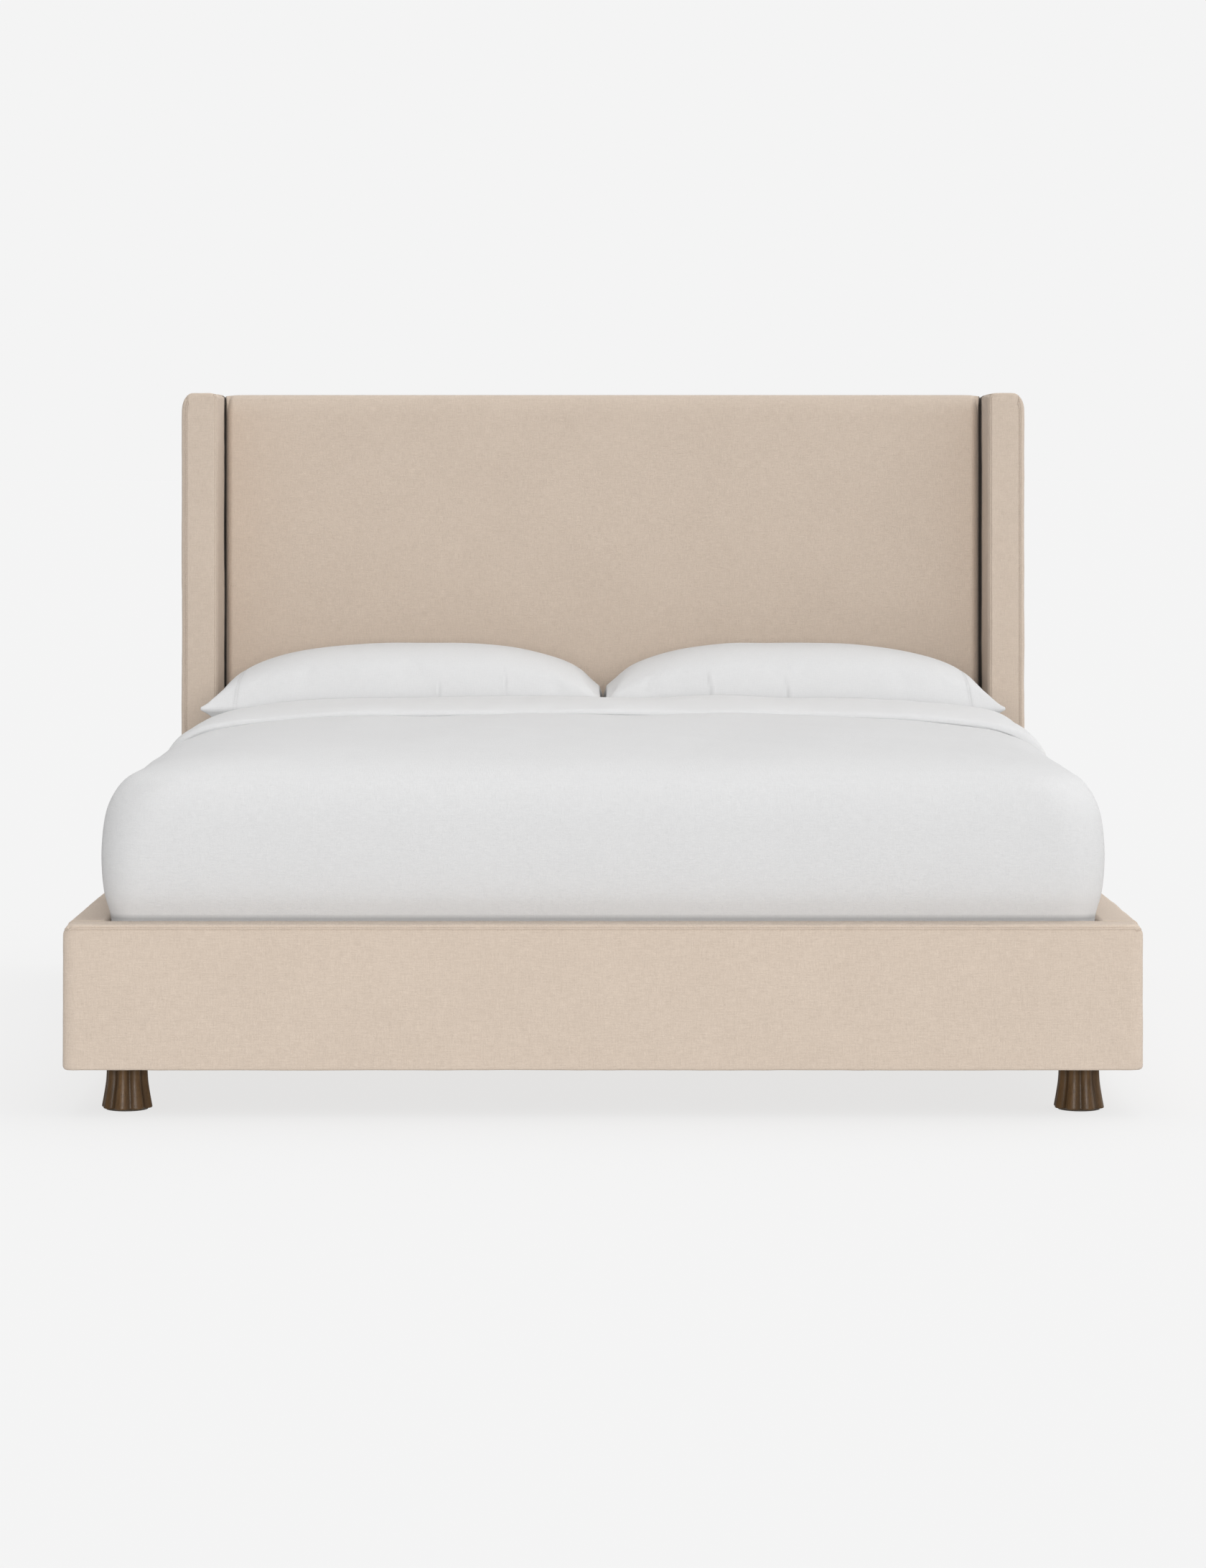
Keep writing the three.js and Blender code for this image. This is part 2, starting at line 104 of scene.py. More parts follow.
def box_lines(low, high, *axes):
    """Grid lines of a box along X, Y and Z, from three tuples in mm.

    Each has how far apart the lines are, then the reach and step of the closer lines at the low end, and
    the same for the high end.
    """
    found = []
    for start, end, (spacing, *ends) in zip(low, high, axes):
        fine = [(place, reach * MM, step * MM) for place, (reach, step) in zip((start, end), ends)]
        found.append(lines(start, end, spacing * MM, *fine))
    return found


def quads_of(index, corners=(0, 1, 2, 3)):
    """The quads between neighbours in a grid of point numbers, with each one's corners in that order."""
    quads = np.stack([index[:-1, :-1], index[1:, :-1], index[1:, 1:], index[:-1, 1:]], axis=-1)
    return quads.reshape(-1, 4)[:, corners]


def box_grid(xs, ys, zs):
    """The surface of a box as one closed mesh of quads on the given grid lines."""
    axes = (xs, ys, zs)
    sizes = np.array([len(a) for a in axes])
    quads = []
    for fixed in range(3):
        u, v = [a for a in range(3) if a != fixed]
        i, j = np.meshgrid(np.arange(sizes[u]), np.arange(sizes[v]), indexing="ij")
        for end in (0, sizes[fixed] - 1):
            index = np.zeros((*i.shape, 3), int)
            index[..., u], index[..., v], index[..., fixed] = i, j, end
            key = (index * [sizes[1] * sizes[2], sizes[2], 1]).sum(axis=-1)
            quad = quads_of(key)
            outward = (end > 0) == (fixed != 1)
            quads.append(quad if outward else quad[:, ::-1])
    keys, faces = np.unique(np.concatenate(quads).ravel(), return_inverse=True)
    points = np.stack([
        xs[keys // (sizes[1] * sizes[2])],
        ys[keys // sizes[2] % sizes[1]],
        zs[keys % sizes[2]],
    ], axis=1)
    return points, faces.reshape(-1, 4)


def round_corner(points, centre, radii, signs, axes):
    """Rounds one corner of an outline, seen along the third axis, to an ellipse about centre."""
    a, b = axes
    du = (points[:, a] - centre[0]) * signs[0] / radii[0]
    dv = (points[:, b] - centre[1]) * signs[1] / radii[1]
    inside = (du > 0) & (dv > 0)
    length = np.hypot(du, dv)
    scale = np.where(inside, np.maximum(du, dv) / np.where(length > 0, length, 1), 1)
    moved = points.copy()
    moved[:, a] = np.where(inside, centre[0] + du * scale * radii[0] * signs[0], points[:, a])
    moved[:, b] = np.where(inside, centre[1] + dv * scale * radii[1] * signs[1], points[:, b])
    return moved


def roll(points, low, high, axes, corners):
    """Rounds the edges of a box that run along the third axis. corners gives each one's two radii in mm."""
    box = (low, high)
    for signs, radii in corners.items():
        radii = [r * MM for r in radii]
        centre = [box[(sign + 1) // 2][axis] - sign * r for sign, axis, r in zip(signs, axes, radii)]
        points = round_corner(points, centre, radii, signs, axes)
    return points


def soften(points, low, high, radius):
    """Rounds all the edges and corners of a box to one radius in metres."""
    core = np.clip(points, low + radius, high - radius)
    out = points - core
    largest = np.abs(out).max(axis=1, keepdims=True)
    length = np.linalg.norm(out, axis=1, keepdims=True)
    return core + out * np.divide(largest, length, out=np.zeros_like(length), where=length > 0)


def normals_of(points, faces):
    a, b, c, d = (points[faces[:, i]] for i in range(4))
    face = np.cross(c - a, d - b)
    total = np.zeros_like(points)
    for i in range(4):
        np.add.at(total, faces[:, i], face)
    return total / np.maximum(np.linalg.norm(total, axis=1, keepdims=True), 1e-12)


def wobble(points, wavelength, seed, waves=9):
    """Smooth noise between about -1 and 1, from waves in seeded directions."""
    source = np.random.default_rng(seed)
    total = np.zeros(len(points))
    for _ in range(waves):
        direction = source.normal(size=3)
        direction *= source.uniform(0.6, 1.5) / np.linalg.norm(direction)
        total += np.sin(points @ direction * (2 * math.pi / wavelength) + source.uniform(0, 2 * math.pi))
    return total / math.sqrt(waves)


def ridge(distance, width):
    """A smooth bump: 1 where distance is 0, and almost gone at twice the width."""
    return np.exp(-((distance / width) ** 2))


def ramp(value, length):
    """Rises evenly from 0 to 1 as value goes from 0 to length."""
    return np.clip(value / length, 0, 1)


def row(x, y, z):
    """Points in a row. Each of x, y and z is one number or one for every point."""
    return np.stack(np.broadcast_arrays(x, y, z), axis=1)


# Node materials -----------------------------------------------------------------------------------

class Nodes:
    """A short way to write a node tree."""

    def __init__(self, tree):
        self.tree = tree

    def link(self, source, target):
        self.tree.links.new(source, target)

    def put(self, socket, value):
        if isinstance(value, bpy.types.NodeSocket):
            self.link(value, socket)
        else:
            socket.default_value = value

    def add(self, kind, values):
        """A new node. values are what goes in its inputs, by place or by name."""
        node = self.tree.nodes.new("ShaderNode" + kind)
        for key, value in values.items():
            self.put(node.inputs[key], value)
        return node

    def math(self, operation, *values):
        node = self.add("Math", dict(enumerate(values)))
        node.operation = operation
        return node.outputs[0]


class Material(Nodes):
    """A node material round one Principled shader."""

    def __init__(self, name):
        self.material = bpy.data.materials.new(name)
        self.material.use_nodes = True
        super().__init__(self.material.node_tree)
        self.tree.nodes.clear()
        self.shader = self.add("BsdfPrincipled", {})
        self.link(self.shader.outputs[0], self.add("OutputMaterial", {}).inputs["Surface"])

    def finished(self, values):
        for name, value in values.items():
            self.put(self.shader.inputs[name], value)
        return self.material

    def scaled(self, vector, scale):
        node = self.add("VectorMath", {0: vector, 1: scale})
        node.operation = "MULTIPLY"
        return node.outputs[0]

    def noise(self, vector, scale, detail=3.0, roughness=0.55, distortion=0.0):
        return self.add("TexNoise", {
            "Vector": vector, "Scale": scale, "Detail": detail, "Roughness": roughness,
            "Distortion": distortion,
        }).outputs["Fac"]

    def blend(self, factor, a, b):
        node = self.add("Mix", {})
        node.data_type = "RGBA"
        for place, value in ((0, factor), (6, a), (7, b)):
            self.put(node.inputs[place], value)
        return node.outputs[2]

    def ranged(self, value, low, high, new_low, new_high):
        return self.add("MapRange", {
            "Value": value, "From Min": low, "From Max": high, "To Min": new_low, "To Max": new_high,
        }).outputs[0]

    def bump(self, height, distance, strength=1.0):
        return self.add("Bump", {"Strength": strength, "Distance": distance, "Height": height}).outputs[0]

    def coordinates(self):
        """Object coordinates in metres, and the surface's direction in the same axes."""
        outputs = self.add("TexCoord", {}).outputs
        return outputs["Object"], outputs["Normal"]

    def painted_shade(self):
        """The painted shade on each point of a mesh: how far its colour is darkened."""
        node = self.add("Attribute", {})
        node.attribute_name = "painted_shade"
        return node.outputs["Fac"]

    def cloth_plane(self):
        """Coordinates with the cloth's threads along X and Y, whichever way the surface faces."""
        place, normal = self.coordinates()
        x, y, z = self.add("SeparateXYZ", {0: place}).outputs
        facing = self.add("SeparateXYZ", {0: normal}).outputs
        across, along, up = (self.math("ABSOLUTE", part) for part in facing)
        side = self.math("GREATER_THAN", across, self.math("MAXIMUM", along, up))
        top = self.math("GREATER_THAN", up, self.math("MAXIMUM", along, across))
        u = self.math("ADD", x, self.math("MULTIPLY", side, self.math("SUBTRACT", y, x)))
        v = self.math("ADD", z, self.math("MULTIPLY", top, self.math("SUBTRACT", y, z)))
        return self.add("CombineXYZ", {0: u, 1: v}).outputs[0]


def opaque(color, share=1):
    return (*[c * share for c in color], 1)


def threads(nodes, plane, pitch):
    """Height of a plain weave: warp and weft passing over each other, pitch apart."""
    wave_scale = 2 * math.pi / pitch / 20
    rows = []
    for direction, phase in (("X", 0.0), ("Y", math.pi / 2)):
        wave = nodes.add("TexWave", {
            "Vector": plane, "Scale": wave_scale, "Distortion": 0.35, "Detail Scale": 3.0,
            "Phase Offset": phase,
        })
        wave.bands_direction = direction
        wave.wave_profile = "SIN"
        rows.append(wave.outputs["Fac"])
    return nodes.math("ADD", *rows)


SLUB_WIDTH, SLUB_LENGTH, CLOTH_GRAIN = 1.3, 16, 2.2     # in threads
CLOTH_PATCHES = 7.0


def woven(name, color, dark, pitch, slub, roughness, sheen, bump):
    """A woven cloth with slubs: threads of uneven thickness both ways, and a slow change of tone."""
    nodes = Material(name)
    plane = nodes.cloth_plane()
    weave = threads(nodes, plane, pitch)
    short, long = 1 / pitch / SLUB_WIDTH, 1 / pitch / SLUB_LENGTH
    upright = nodes.noise(nodes.scaled(plane, (short, long, 1)), 1.0, 2.0)
    level = nodes.noise(nodes.scaled(plane, (long, short, 1)), 1.0, 2.0)
    grain = nodes.noise(plane, 1 / pitch / CLOTH_GRAIN, 2.0)
    slow = nodes.noise(plane, CLOTH_PATCHES, 3.0)
    slubs = nodes.math("ADD", upright, level)
    tone = nodes.ranged(slubs, 0.7, 1.3, 0.5 - slub, 0.5 + slub)
    tone = nodes.math("ADD", tone, nodes.ranged(grain, 0.3, 0.7, -slub * 0.6, slub * 0.6))
    tone = nodes.math("ADD", tone, nodes.ranged(slow, 0.3, 0.7, -slub * 0.25, slub * 0.25))
    open_cloth = nodes.blend(tone, opaque(dark), opaque(color))
    height = nodes.math("ADD", nodes.math("MULTIPLY", weave, 0.35), slubs)
    # The base colour is darkened towards a fifth of the dark tone where the mesh asks for painted shade, in
    # seams, folds and gaps.
    return nodes.finished({
        "Base Color": nodes.blend(nodes.painted_shade(), open_cloth, opaque(dark, 0.2)),
        "Roughness": nodes.ranged(slubs, 0.7, 1.3, roughness, roughness - 0.08),
        "Normal": nodes.bump(height, pitch * bump),
        "Sheen Weight": sheen,
        "Sheen Roughness": 0.4,
        "Specular IOR Level": 0.2,
    })


def wood(name, color, dark, roughness, coat, ring, stretch=(1, 1, 0.12)):
    """Straight-grained wood with pores and uneven rings. stretch is smallest along the grain."""
    nodes = Material(name)
    place, _ = nodes.coordinates()
    along = nodes.scaled(place, stretch)
    warp = nodes.noise(along, 9.0, 4.0)
    rings = nodes.noise(along, ring, 6.0, 0.6, 1.2)
    fine = nodes.noise(nodes.scaled(along, (14, 14, 9)), 22.0, 3.0, 0.7)
    pores = nodes.noise(nodes.scaled(along, (40, 40, 14)), 18.0, 2.0, 0.6)
    tone = nodes.ranged(rings, 0.3, 0.7, 0.0, 0.75)
    tone = nodes.math("ADD", tone, nodes.ranged(fine, 0.35, 0.65, -0.18, 0.18))
    tone = nodes.math("ADD", tone, nodes.ranged(warp, 0.3, 0.7, -0.1, 0.25))
    pits = nodes.ranged(pores, 0.36, 0.5, 0.55, 1.0)
    # Dark colour for the pores, which is also the painted shade laid down the grooves of the leg's flutes.
    pore_and_painted_shade = opaque(dark, 0.55)
    grain = nodes.blend(nodes.painted_shade(), nodes.blend(tone, opaque(dark), opaque(color)), pore_and_painted_shade)
    return nodes.finished({
        "Base Color": nodes.blend(pits, pore_and_painted_shade, grain),
        "Roughness": nodes.ranged(fine, 0.3, 0.7, roughness + 0.08, roughness - 0.05),
        "Normal": nodes.bump(nodes.math("ADD", fine, pits), 0.25 * MM, 0.6),
        "Coat Weight": coat,
        "Coat Roughness": 0.3,
        "Specular IOR Level": 0.16,
    })


def hard(name, color, worn, roughness, metallic, grain_size, bump):
    """Painted or plated metal, or moulded plastic, with fine texture and rubbed patches."""
    nodes = Material(name)
    place, _ = nodes.coordinates()
    fine = nodes.noise(place, 1 / grain_size, 3.0, 0.6)
    broad = nodes.noise(place, 28.0, 4.0, 0.65)
    tone = nodes.ranged(broad, 0.42, 0.68, 0.0, 1.0)
    return nodes.finished({
        "Base Color": nodes.blend(tone, opaque(color), opaque(worn)),
        "Roughness": nodes.ranged(broad, 0.3, 0.7, roughness + 0.08, roughness - 0.08),
        "Normal": nodes.bump(fine, bump),
        "Metallic": metallic,
    })


# Cloths: tone, darker tone, thread pitch, slub, roughness, sheen, bump
UPHOLSTERY = woven(
    "upholstery_linen", (0.70, 0.590, 0.492), (0.56, 0.463, 0.380), 1.2 * MM, 0.26, 0.92, 0.15, 0.45)
LINING = woven("back_lining", (0.47, 0.40, 0.34), (0.36, 0.30, 0.25), 0.9 * MM, 0.25, 0.95, 0.05, 0.4)
LINEN = woven("bed_linen", (0.71, 0.71, 0.71), (0.64, 0.64, 0.645), 1.0 * MM, 0.2, 0.9, 0.2, 0.4)
# The bed linen painted paler, as painted light for the pillows and the turned-back fold, which get less light
# than the duvet.
LINEN_PAINTED_PALER = woven(
    "linen_painted_paler", (0.745, 0.745, 0.745), (0.675, 0.675, 0.68), 1.0 * MM, 0.2, 0.9, 0.2, 0.4)
TICKING = woven("mattress_ticking", (0.72, 0.70, 0.67), (0.58, 0.56, 0.53), 1.0 * MM, 0.3, 0.92, 0.1, 0.5)
# Near-black cloth for the headboard core: dust cloth is real, but this darkness is painted shade, so the gap
# between panel and wings reads dark.
CAMBRIC_PAINTED_GAP_SHADE = woven("cambric_painted_gap_shade", (0.05, 0.043, 0.037), (0.035, 0.03, 0.026), 0.8 * MM, 0.3, 0.95, 0.05, 0.4)
FELT = woven("glide_felt", (0.09, 0.075, 0.06), (0.05, 0.042, 0.035), 0.7 * MM, 0.35, 0.98, 0.1, 0.6)
THREAD = woven("seam_thread", (0.68, 0.57, 0.47), (0.56, 0.46, 0.38), 0.35 * MM, 0.3, 0.7, 0.1, 0.4)
LINEN_THREAD = woven("hem_thread", (0.68, 0.68, 0.68), (0.58, 0.58, 0.58), 0.35 * MM, 0.3, 0.7, 0.1, 0.4)
# Woods: tone, darker tone, roughness, coat, ring spacing, stretch
WALNUT = wood("walnut", (0.135, 0.075, 0.031), (0.07, 0.038, 0.015), 0.38, 0.1, 40.0)
BOARD = wood("frame_pine", (0.62, 0.43, 0.25), (0.45, 0.28, 0.15), 0.62, 0.0, 14.0, (1, 0.1, 1))
SLAT_WOOD = wood("slat_birch", (0.70, 0.52, 0.33), (0.54, 0.37, 0.21), 0.55, 0.05, 12.0, (0.08, 1, 1))
# Hard stuff: tone, worn tone, roughness, metallic, grain size, bump
STEEL = hard("painted_steel", (0.018, 0.018, 0.02), (0.04, 0.04, 0.042), 0.42, 0.0, 0.9 * MM, 0.04 * MM)
ZINC = hard("zinc_plate", (0.55, 0.56, 0.57), (0.38, 0.39, 0.40), 0.36, 1.0, 0.5 * MM, 0.02 * MM)
PLASTIC = hard("foot_plastic", (0.02, 0.02, 0.02), (0.035, 0.034, 0.033), 0.6, 0.0, 0.6 * MM, 0.05 * MM)


# Stitching ----------------------------------------------------------------------------------------

THREAD_WIDTH = 1.0 * MM
THREAD_SIDES = 6
STITCH = 4.6 * MM
STITCH_SHARE = 0.8      # how much of each stitch's length shows
# A stitch's sections: place along it, and how fat it is there
STITCH_SECTIONS = ((-0.5, 0.15), (-0.3, 0.85), (0.0, 1.0), (0.3, 0.85), (0.5, 0.15))
CLEAR = 50 * MM         # how far off a piece its rows start, before they are dropped onto it


def along_path(path, pitch):
    """Points evenly spaced on a path, with the way it runs at each."""
    steps = np.linalg.norm(np.diff(path, axis=0), axis=1)
    reach = np.concatenate([[0], np.cumsum(steps)])
    places = np.arange(pitch / 2, reach[-1], pitch)

    def at(distance):
        return np.stack([np.interp(distance, reach, path[:, k]) for k in range(3)], axis=1)

    run = at(places + pitch / 4) - at(places - pitch / 4)
    return at(places), run / np.maximum(np.linalg.norm(run, axis=1, keepdims=True), 1e-12)


def stitches(name, paths, outward, body, slot, material):
    """Short lens-shaped threads in a row along each path. outward(points) is the surface's direction."""
    ring = [(math.cos(a), math.sin(a)) for a in np.linspace(0, 2 * math.pi, THREAD_SIDES, endpoint=False)]
    points, faces = [], []
    for path in paths:
        middles, runs = along_path(path, STITCH)
        for middle, run, up in zip(middles, runs, outward(middles)):
            across = np.cross(run, up)
            base = len(points)
            for share, fat in STITCH_SECTIONS:
                centre = middle + run * (share * STITCH * STITCH_SHARE) + up * (fat - 0.6) * 0.35 * MM
                points += [centre + (across * c + up * s * 0.7) * THREAD_WIDTH / 2 * fat for c, s in ring]
            last = len(points) - THREAD_SIDES
            for start in range(base, last, THREAD_SIDES):
                for i in range(THREAD_SIDES):
                    a, b = start + i, start + (i + 1) % THREAD_SIDES
                    faces.append((a, b, b + THREAD_SIDES, a + THREAD_SIDES))
            faces.append(tuple(base + i for i in reversed(range(THREAD_SIDES))))
            faces.append(tuple(last + i for i in range(THREAD_SIDES)))
    obj = make_object(name, points, faces)
    return finish_piece(obj, material, body, slot)


# Upholstered covers ---------------------------------------------------------------------------------

XY, XZ, YZ = (0, 1), (0, 2), (1, 2)
SEAM_DEPTH = 0.9 * MM
SEAM_WIDTH = 1.3 * MM
SEAM_APART = 4.4 * MM
# Painted shade at the bottom of the seams' grooves; the stronger one is for the two rows near a wing's outer
# side.
SEAM_PAINTED_SHADE, EDGE_SEAM_PAINTED_SHADE = 0.08, 0.26
RAIL_SEAM = 4.2 * MM                        # below a rail's top
WING_SEAM, WING_INNER_SEAM = 6.5 * MM, 1.6 * MM     # in from a wing's outer and inner sides
# How dark the painted shade is on the cloth deep in the gap between panel and wing.
GAP_PAINTED_SHADE = 0.9                           # deep in the gap between panel and wing
PIPED = 1.2 * MM                            # half width of the cloth that stands up between two seams


def set_painted_shade(obj, values):
    """Painted shade: how much each point is darkened, 1 at the bottom of a seam or fold, 0 on open cloth."""
    layer = obj.data.attributes.new("painted_shade", "FLOAT", "POINT")
    layer.data.foreach_set("value", np.clip(values, 0, 1).astype(np.float32))


def upholstered(name, node, grid, shape):
    """A padded cover: a box grid taken through shape, which returns points, pressing in and painted shade."""
    flat, faces = box_grid(*grid)
    points, press, painted_shade = shape(flat)
    points = points + normals_of(points, faces) * press[:, None]
    obj = make_object(name, points, faces)
    set_painted_shade(obj, painted_shade)
    finish_piece(obj, UPHOLSTERY, "bed_frame", "upholstery", node)
    return obj


def stitch_row(name, obj, starts, direction, material=THREAD, body="bed_frame", slot="upholstery"):
    """Sews along rows of points, each dropped onto the piece's surface in one direction."""
    tree = BVHTree.FromPolygons([v.co for v in obj.data.vertices], [p.vertices for p in obj.data.polygons])
    paths, facing = [], []
    for start in starts:
        hits = [tree.ray_cast(Vector(point), Vector(direction)) for point in start]
        hits = [hit[:2] for hit in hits if hit[0] is not None]
        if len(hits) > 2:
            paths.append(np.array([place for place, _ in hits]))
            facing += [normal for _, normal in hits]
    known, facing = np.concatenate(paths), np.array(facing)

    def outward(points):
        nearest = [np.argmin(((known - p) ** 2).sum(axis=1)) for p in points]
        return facing[nearest]

    return stitches(name, paths, outward, body, slot, material)


def rail_seams(top):
    """Heights of the two rows of stitching under a rail's top."""
    return [top - RAIL_SEAM, top - RAIL_SEAM - SEAM_APART]


def double_seam(place, seams, where):
    """Two rows of stitching with the cloth standing up between them: the grooves, and the pressing."""
    grooves = sum(ridge(place - seam, SEAM_WIDTH) for seam in seams) * where
    return grooves, 0.6 * MM * ridge(place - sum(seams) / 2, PIPED) * where - SEAM_DEPTH * grooves


def make_footboard():
    low, high = span("footboard_cover")
    seams = rail_seams(high[2])
    middle = (low[1] + high[1]) / 2

    def shape(flat):
        points = roll(flat, low, high, YZ, {
            (-1, 1): (9, 8), (1, 1): (9, 9), (-1, -1): (4, 4), (1, -1): (4, 4)})
        points = roll(points, low, high, XZ, {
            (-1, 1): (14, 20), (1, 1): (14, 20), (-1, -1): (5, 7), (1, -1): (5, 7)})
        points = roll(points, low, high, XY, {(-1, -1): (24, 15), (1, -1): (24, 15)})
        front = (flat[:, 1] < middle - 15 * MM).astype(float)
        ends = (np.abs(flat[:, 0]) > high[0] - 10 * MM).astype(float)
        grooves, press = double_seam(flat[:, 2], seams, np.maximum(front, ends))
        gather = np.sin(points[:, 0] / (7 * MM) + 2 * wobble(points, 0.05, 2))
        press += 0.1 * MM * gather * ridge(flat[:, 2] - seams[1] + 5 * MM, 7 * MM) * front
        press += 0.4 * MM * wobble(points, 0.16, 3) * front + 0.15 * MM * wobble(points, 0.04, 4)
        # The seams' grooves are darkened with painted shade.
        return points, press, grooves * SEAM_PAINTED_SHADE

    grid = box_lines(low, high, (11, (26, 2), (26, 2)), (8, (15, 1.5), (9, 1.5)), (9, (7, 1.4), (15, 0.6)))
    obj = upholstered("footboard_upholstery", "footboard_cover", grid, shape)
    x = np.linspace(low[0] + 14 * MM, high[0] - 14 * MM, 160)
    stitch_row("footboard_stitching", obj, [row(x, low[1] - CLEAR, seam) for seam in seams], (0, 1, 0))


def make_side_rail(side, sign):
    node = f"side_rail_cover_{side}"
    low, high = span(node)
    outer = low[0] if sign < 0 else high[0]
    seams = rail_seams(high[2])

    def shape(flat):
        points = roll(flat, low, high, XZ, {
            (sign, 1): (11, 14), (-sign, 1): (9, 9), (sign, -1): (6, 6), (-sign, -1): (6, 6)})
        outside = (np.abs(flat[:, 0] - outer) < 10 * MM).astype(float)
        grooves, press = double_seam(flat[:, 2], seams, outside)
        away = ramp(high[1] - flat[:, 1], 8 * MM) * ramp(flat[:, 1] - low[1], 8 * MM)
        press += 0.5 * MM * wobble(points, 0.18, 5 + sign) + 0.15 * MM * wobble(points, 0.04, 8)
        # The seams' grooves are darkened with painted shade.
        return points, press * away, grooves * SEAM_PAINTED_SHADE

    grid = box_lines(low, high, (8, (9, 1.5), (9, 1.5)), (11, (8, 2), (8, 2)), (9, (7, 1.4), (15, 0.6)))
    obj = upholstered(f"side_rail_upholstery_{side}", node, grid, shape)
    y = np.linspace(low[1] + 2 * MM, high[1] - 2 * MM, 200)
    rows = [row(outer + sign * CLEAR, y, seam) for seam in seams]
    stitch_row(f"side_rail_stitching_{side}", obj, rows, (-sign, 0, 0))


def make_wing(side, sign):
    node = f"wing_cover_{side}"
    low, high = span(node)
    middle = (low[0] + high[0]) / 2
    outer, inner = (low[0], high[0]) if sign < 0 else (high[0], low[0])
    firsts = (outer - sign * WING_SEAM, inner + sign * WING_INNER_SEAM)
    seams = [firsts[0], firsts[0] - sign * SEAM_APART, firsts[1], firsts[1] + sign * SEAM_APART]
    top = high[2]

    def shape(flat):
        points = roll(flat, low, high, YZ, {
            (-1, 1): (8, 8), (1, 1): (6, 6), (-1, -1): (6, 6), (1, -1): (6, 6)})
        points = roll(points, low, high, XZ, {
            (sign, 1): (24, 37), (-sign, 1): (20, 11), (sign, -1): (6, 6), (-sign, -1): (4, 4)})
        points = roll(points, low, high, XY, {
            (sign, -1): (16, 12), (-sign, -1): (9, 30), (sign, 1): (8, 8), (-sign, 1): (3, 3)})
        across = np.abs(flat[:, 0] - middle) / (high[0] - middle)
        front = (flat[:, 1] < low[1] + 4 * MM).astype(float)
        over = (flat[:, 2] > top - 4 * MM).astype(float)
        sewn = np.maximum(front, over)
        grooves = [ridge(flat[:, 0] - seam, SEAM_WIDTH) * sewn for seam in seams]
        piping = sum(ridge(flat[:, 0] - (seams[i] + seams[i + 1]) / 2, PIPED) for i in (0, 2)) * sewn
        press = -SEAM_DEPTH * sum(grooves) + 0.7 * MM * piping + 0.8 * MM * (1 - across ** 2) * front
        press += 0.35 * MM * wobble(points, 0.16, 11 + sign) + 0.15 * MM * wobble(points, 0.04, 12)
        # Painted shade: the seams' grooves, and the wing's inner side deep in the gap by the panel, are
        # darkened.
        inside = (flat[:, 0] - inner) * sign < 1 * MM
        gap_shade_mask = inside * ramp(flat[:, 1] - PANEL_FRONT, 14 * MM)
        seam_painted_shade = EDGE_SEAM_PAINTED_SHADE * sum(grooves[:2]) + SEAM_PAINTED_SHADE * sum(grooves[2:])
        return points, press, seam_painted_shade + GAP_PAINTED_SHADE * gap_shade_mask

    grid = box_lines(low, high, (7,), (11, (12, 1.5), (8, 2)), (11, (7, 1.5), (34, 2)))
    fine = [(place, 16 * MM, 1.6 * MM) for place in (low[0], high[0])]
    grid[0] = lines(low[0], high[0], 7 * MM, *fine, *[(seam, 3.5 * MM, 0.6 * MM) for seam in seams])
    obj = upholstered(f"wing_upholstery_{side}", node, grid, shape)
    up = np.linspace(low[2] + 6 * MM, top - 14 * MM, 160)
    front = [row(seam, low[1] - CLEAR, up) for seam in seams]
    stitch_row(f"wing_stitching_{side}", obj, front, (0, 1, 0))
    back = np.linspace(low[1] + 8 * MM, high[1] - 10 * MM, 60)
    over = [row(seam, back, top + CLEAR) for seam in seams]
    stitch_row(f"wing_top_stitching_{side}", obj, over, (0, 0, -1))


def make_headboard_panel():
    low, high = span("headboard_panel_cover")
    half_height = (high[2] - low[2]) / 2

    def shape(flat):
        points = roll(flat, low, high, YZ, {
            (-1, 1): (30, 46), (1, 1): (12, 14), (-1, -1): (8, 8), (1, -1): (4, 4)})
        points = roll(points, low, high, XZ, {(-1, 1): (3, 2), (1, 1): (3, 2)})
        points = roll(points, low, high, XY, {(-1, -1): (19, 44), (1, -1): (25, 60)})
        upper = ramp(flat[:, 2] - high[2] + 60 * MM, 60 * MM)
        end = ramp(np.abs(flat[:, 0]) - high[0] + 40 * MM, 40 * MM)
        points[:, 2] -= (2.4 * MM * end ** 2 + 1.2 * MM) * upper
        across = ramp(np.abs(flat[:, 0]), high[0])
        height = ramp(np.abs(flat[:, 2] - low[2] - half_height), half_height)
        front = (flat[:, 1] < low[1] + 4 * MM).astype(float)
        press = 3.0 * MM * (1 - across ** 6) * (1 - height ** 4) * front
        press += (0.5 * MM * wobble(points, 0.3, 21) + 0.15 * MM * wobble(points, 0.05, 22)) * front
        # Painted shade on the panel's sides, deep in the gap by the wings.
        at_side = np.abs(flat[:, 0]) > high[0] - 1 * MM
        return points, press, GAP_PAINTED_SHADE * at_side * ramp(flat[:, 1] - low[1] - 8 * MM, 20 * MM)

    grid = box_lines(low, high, (12, (28, 2), (28, 2)), (9, (36, 3), (12, 2)), (13, (8, 2), (48, 3)))
    upholstered("headboard_panel_upholstery", "headboard_panel_cover", grid, shape)


LINING_HEM = 9 * MM


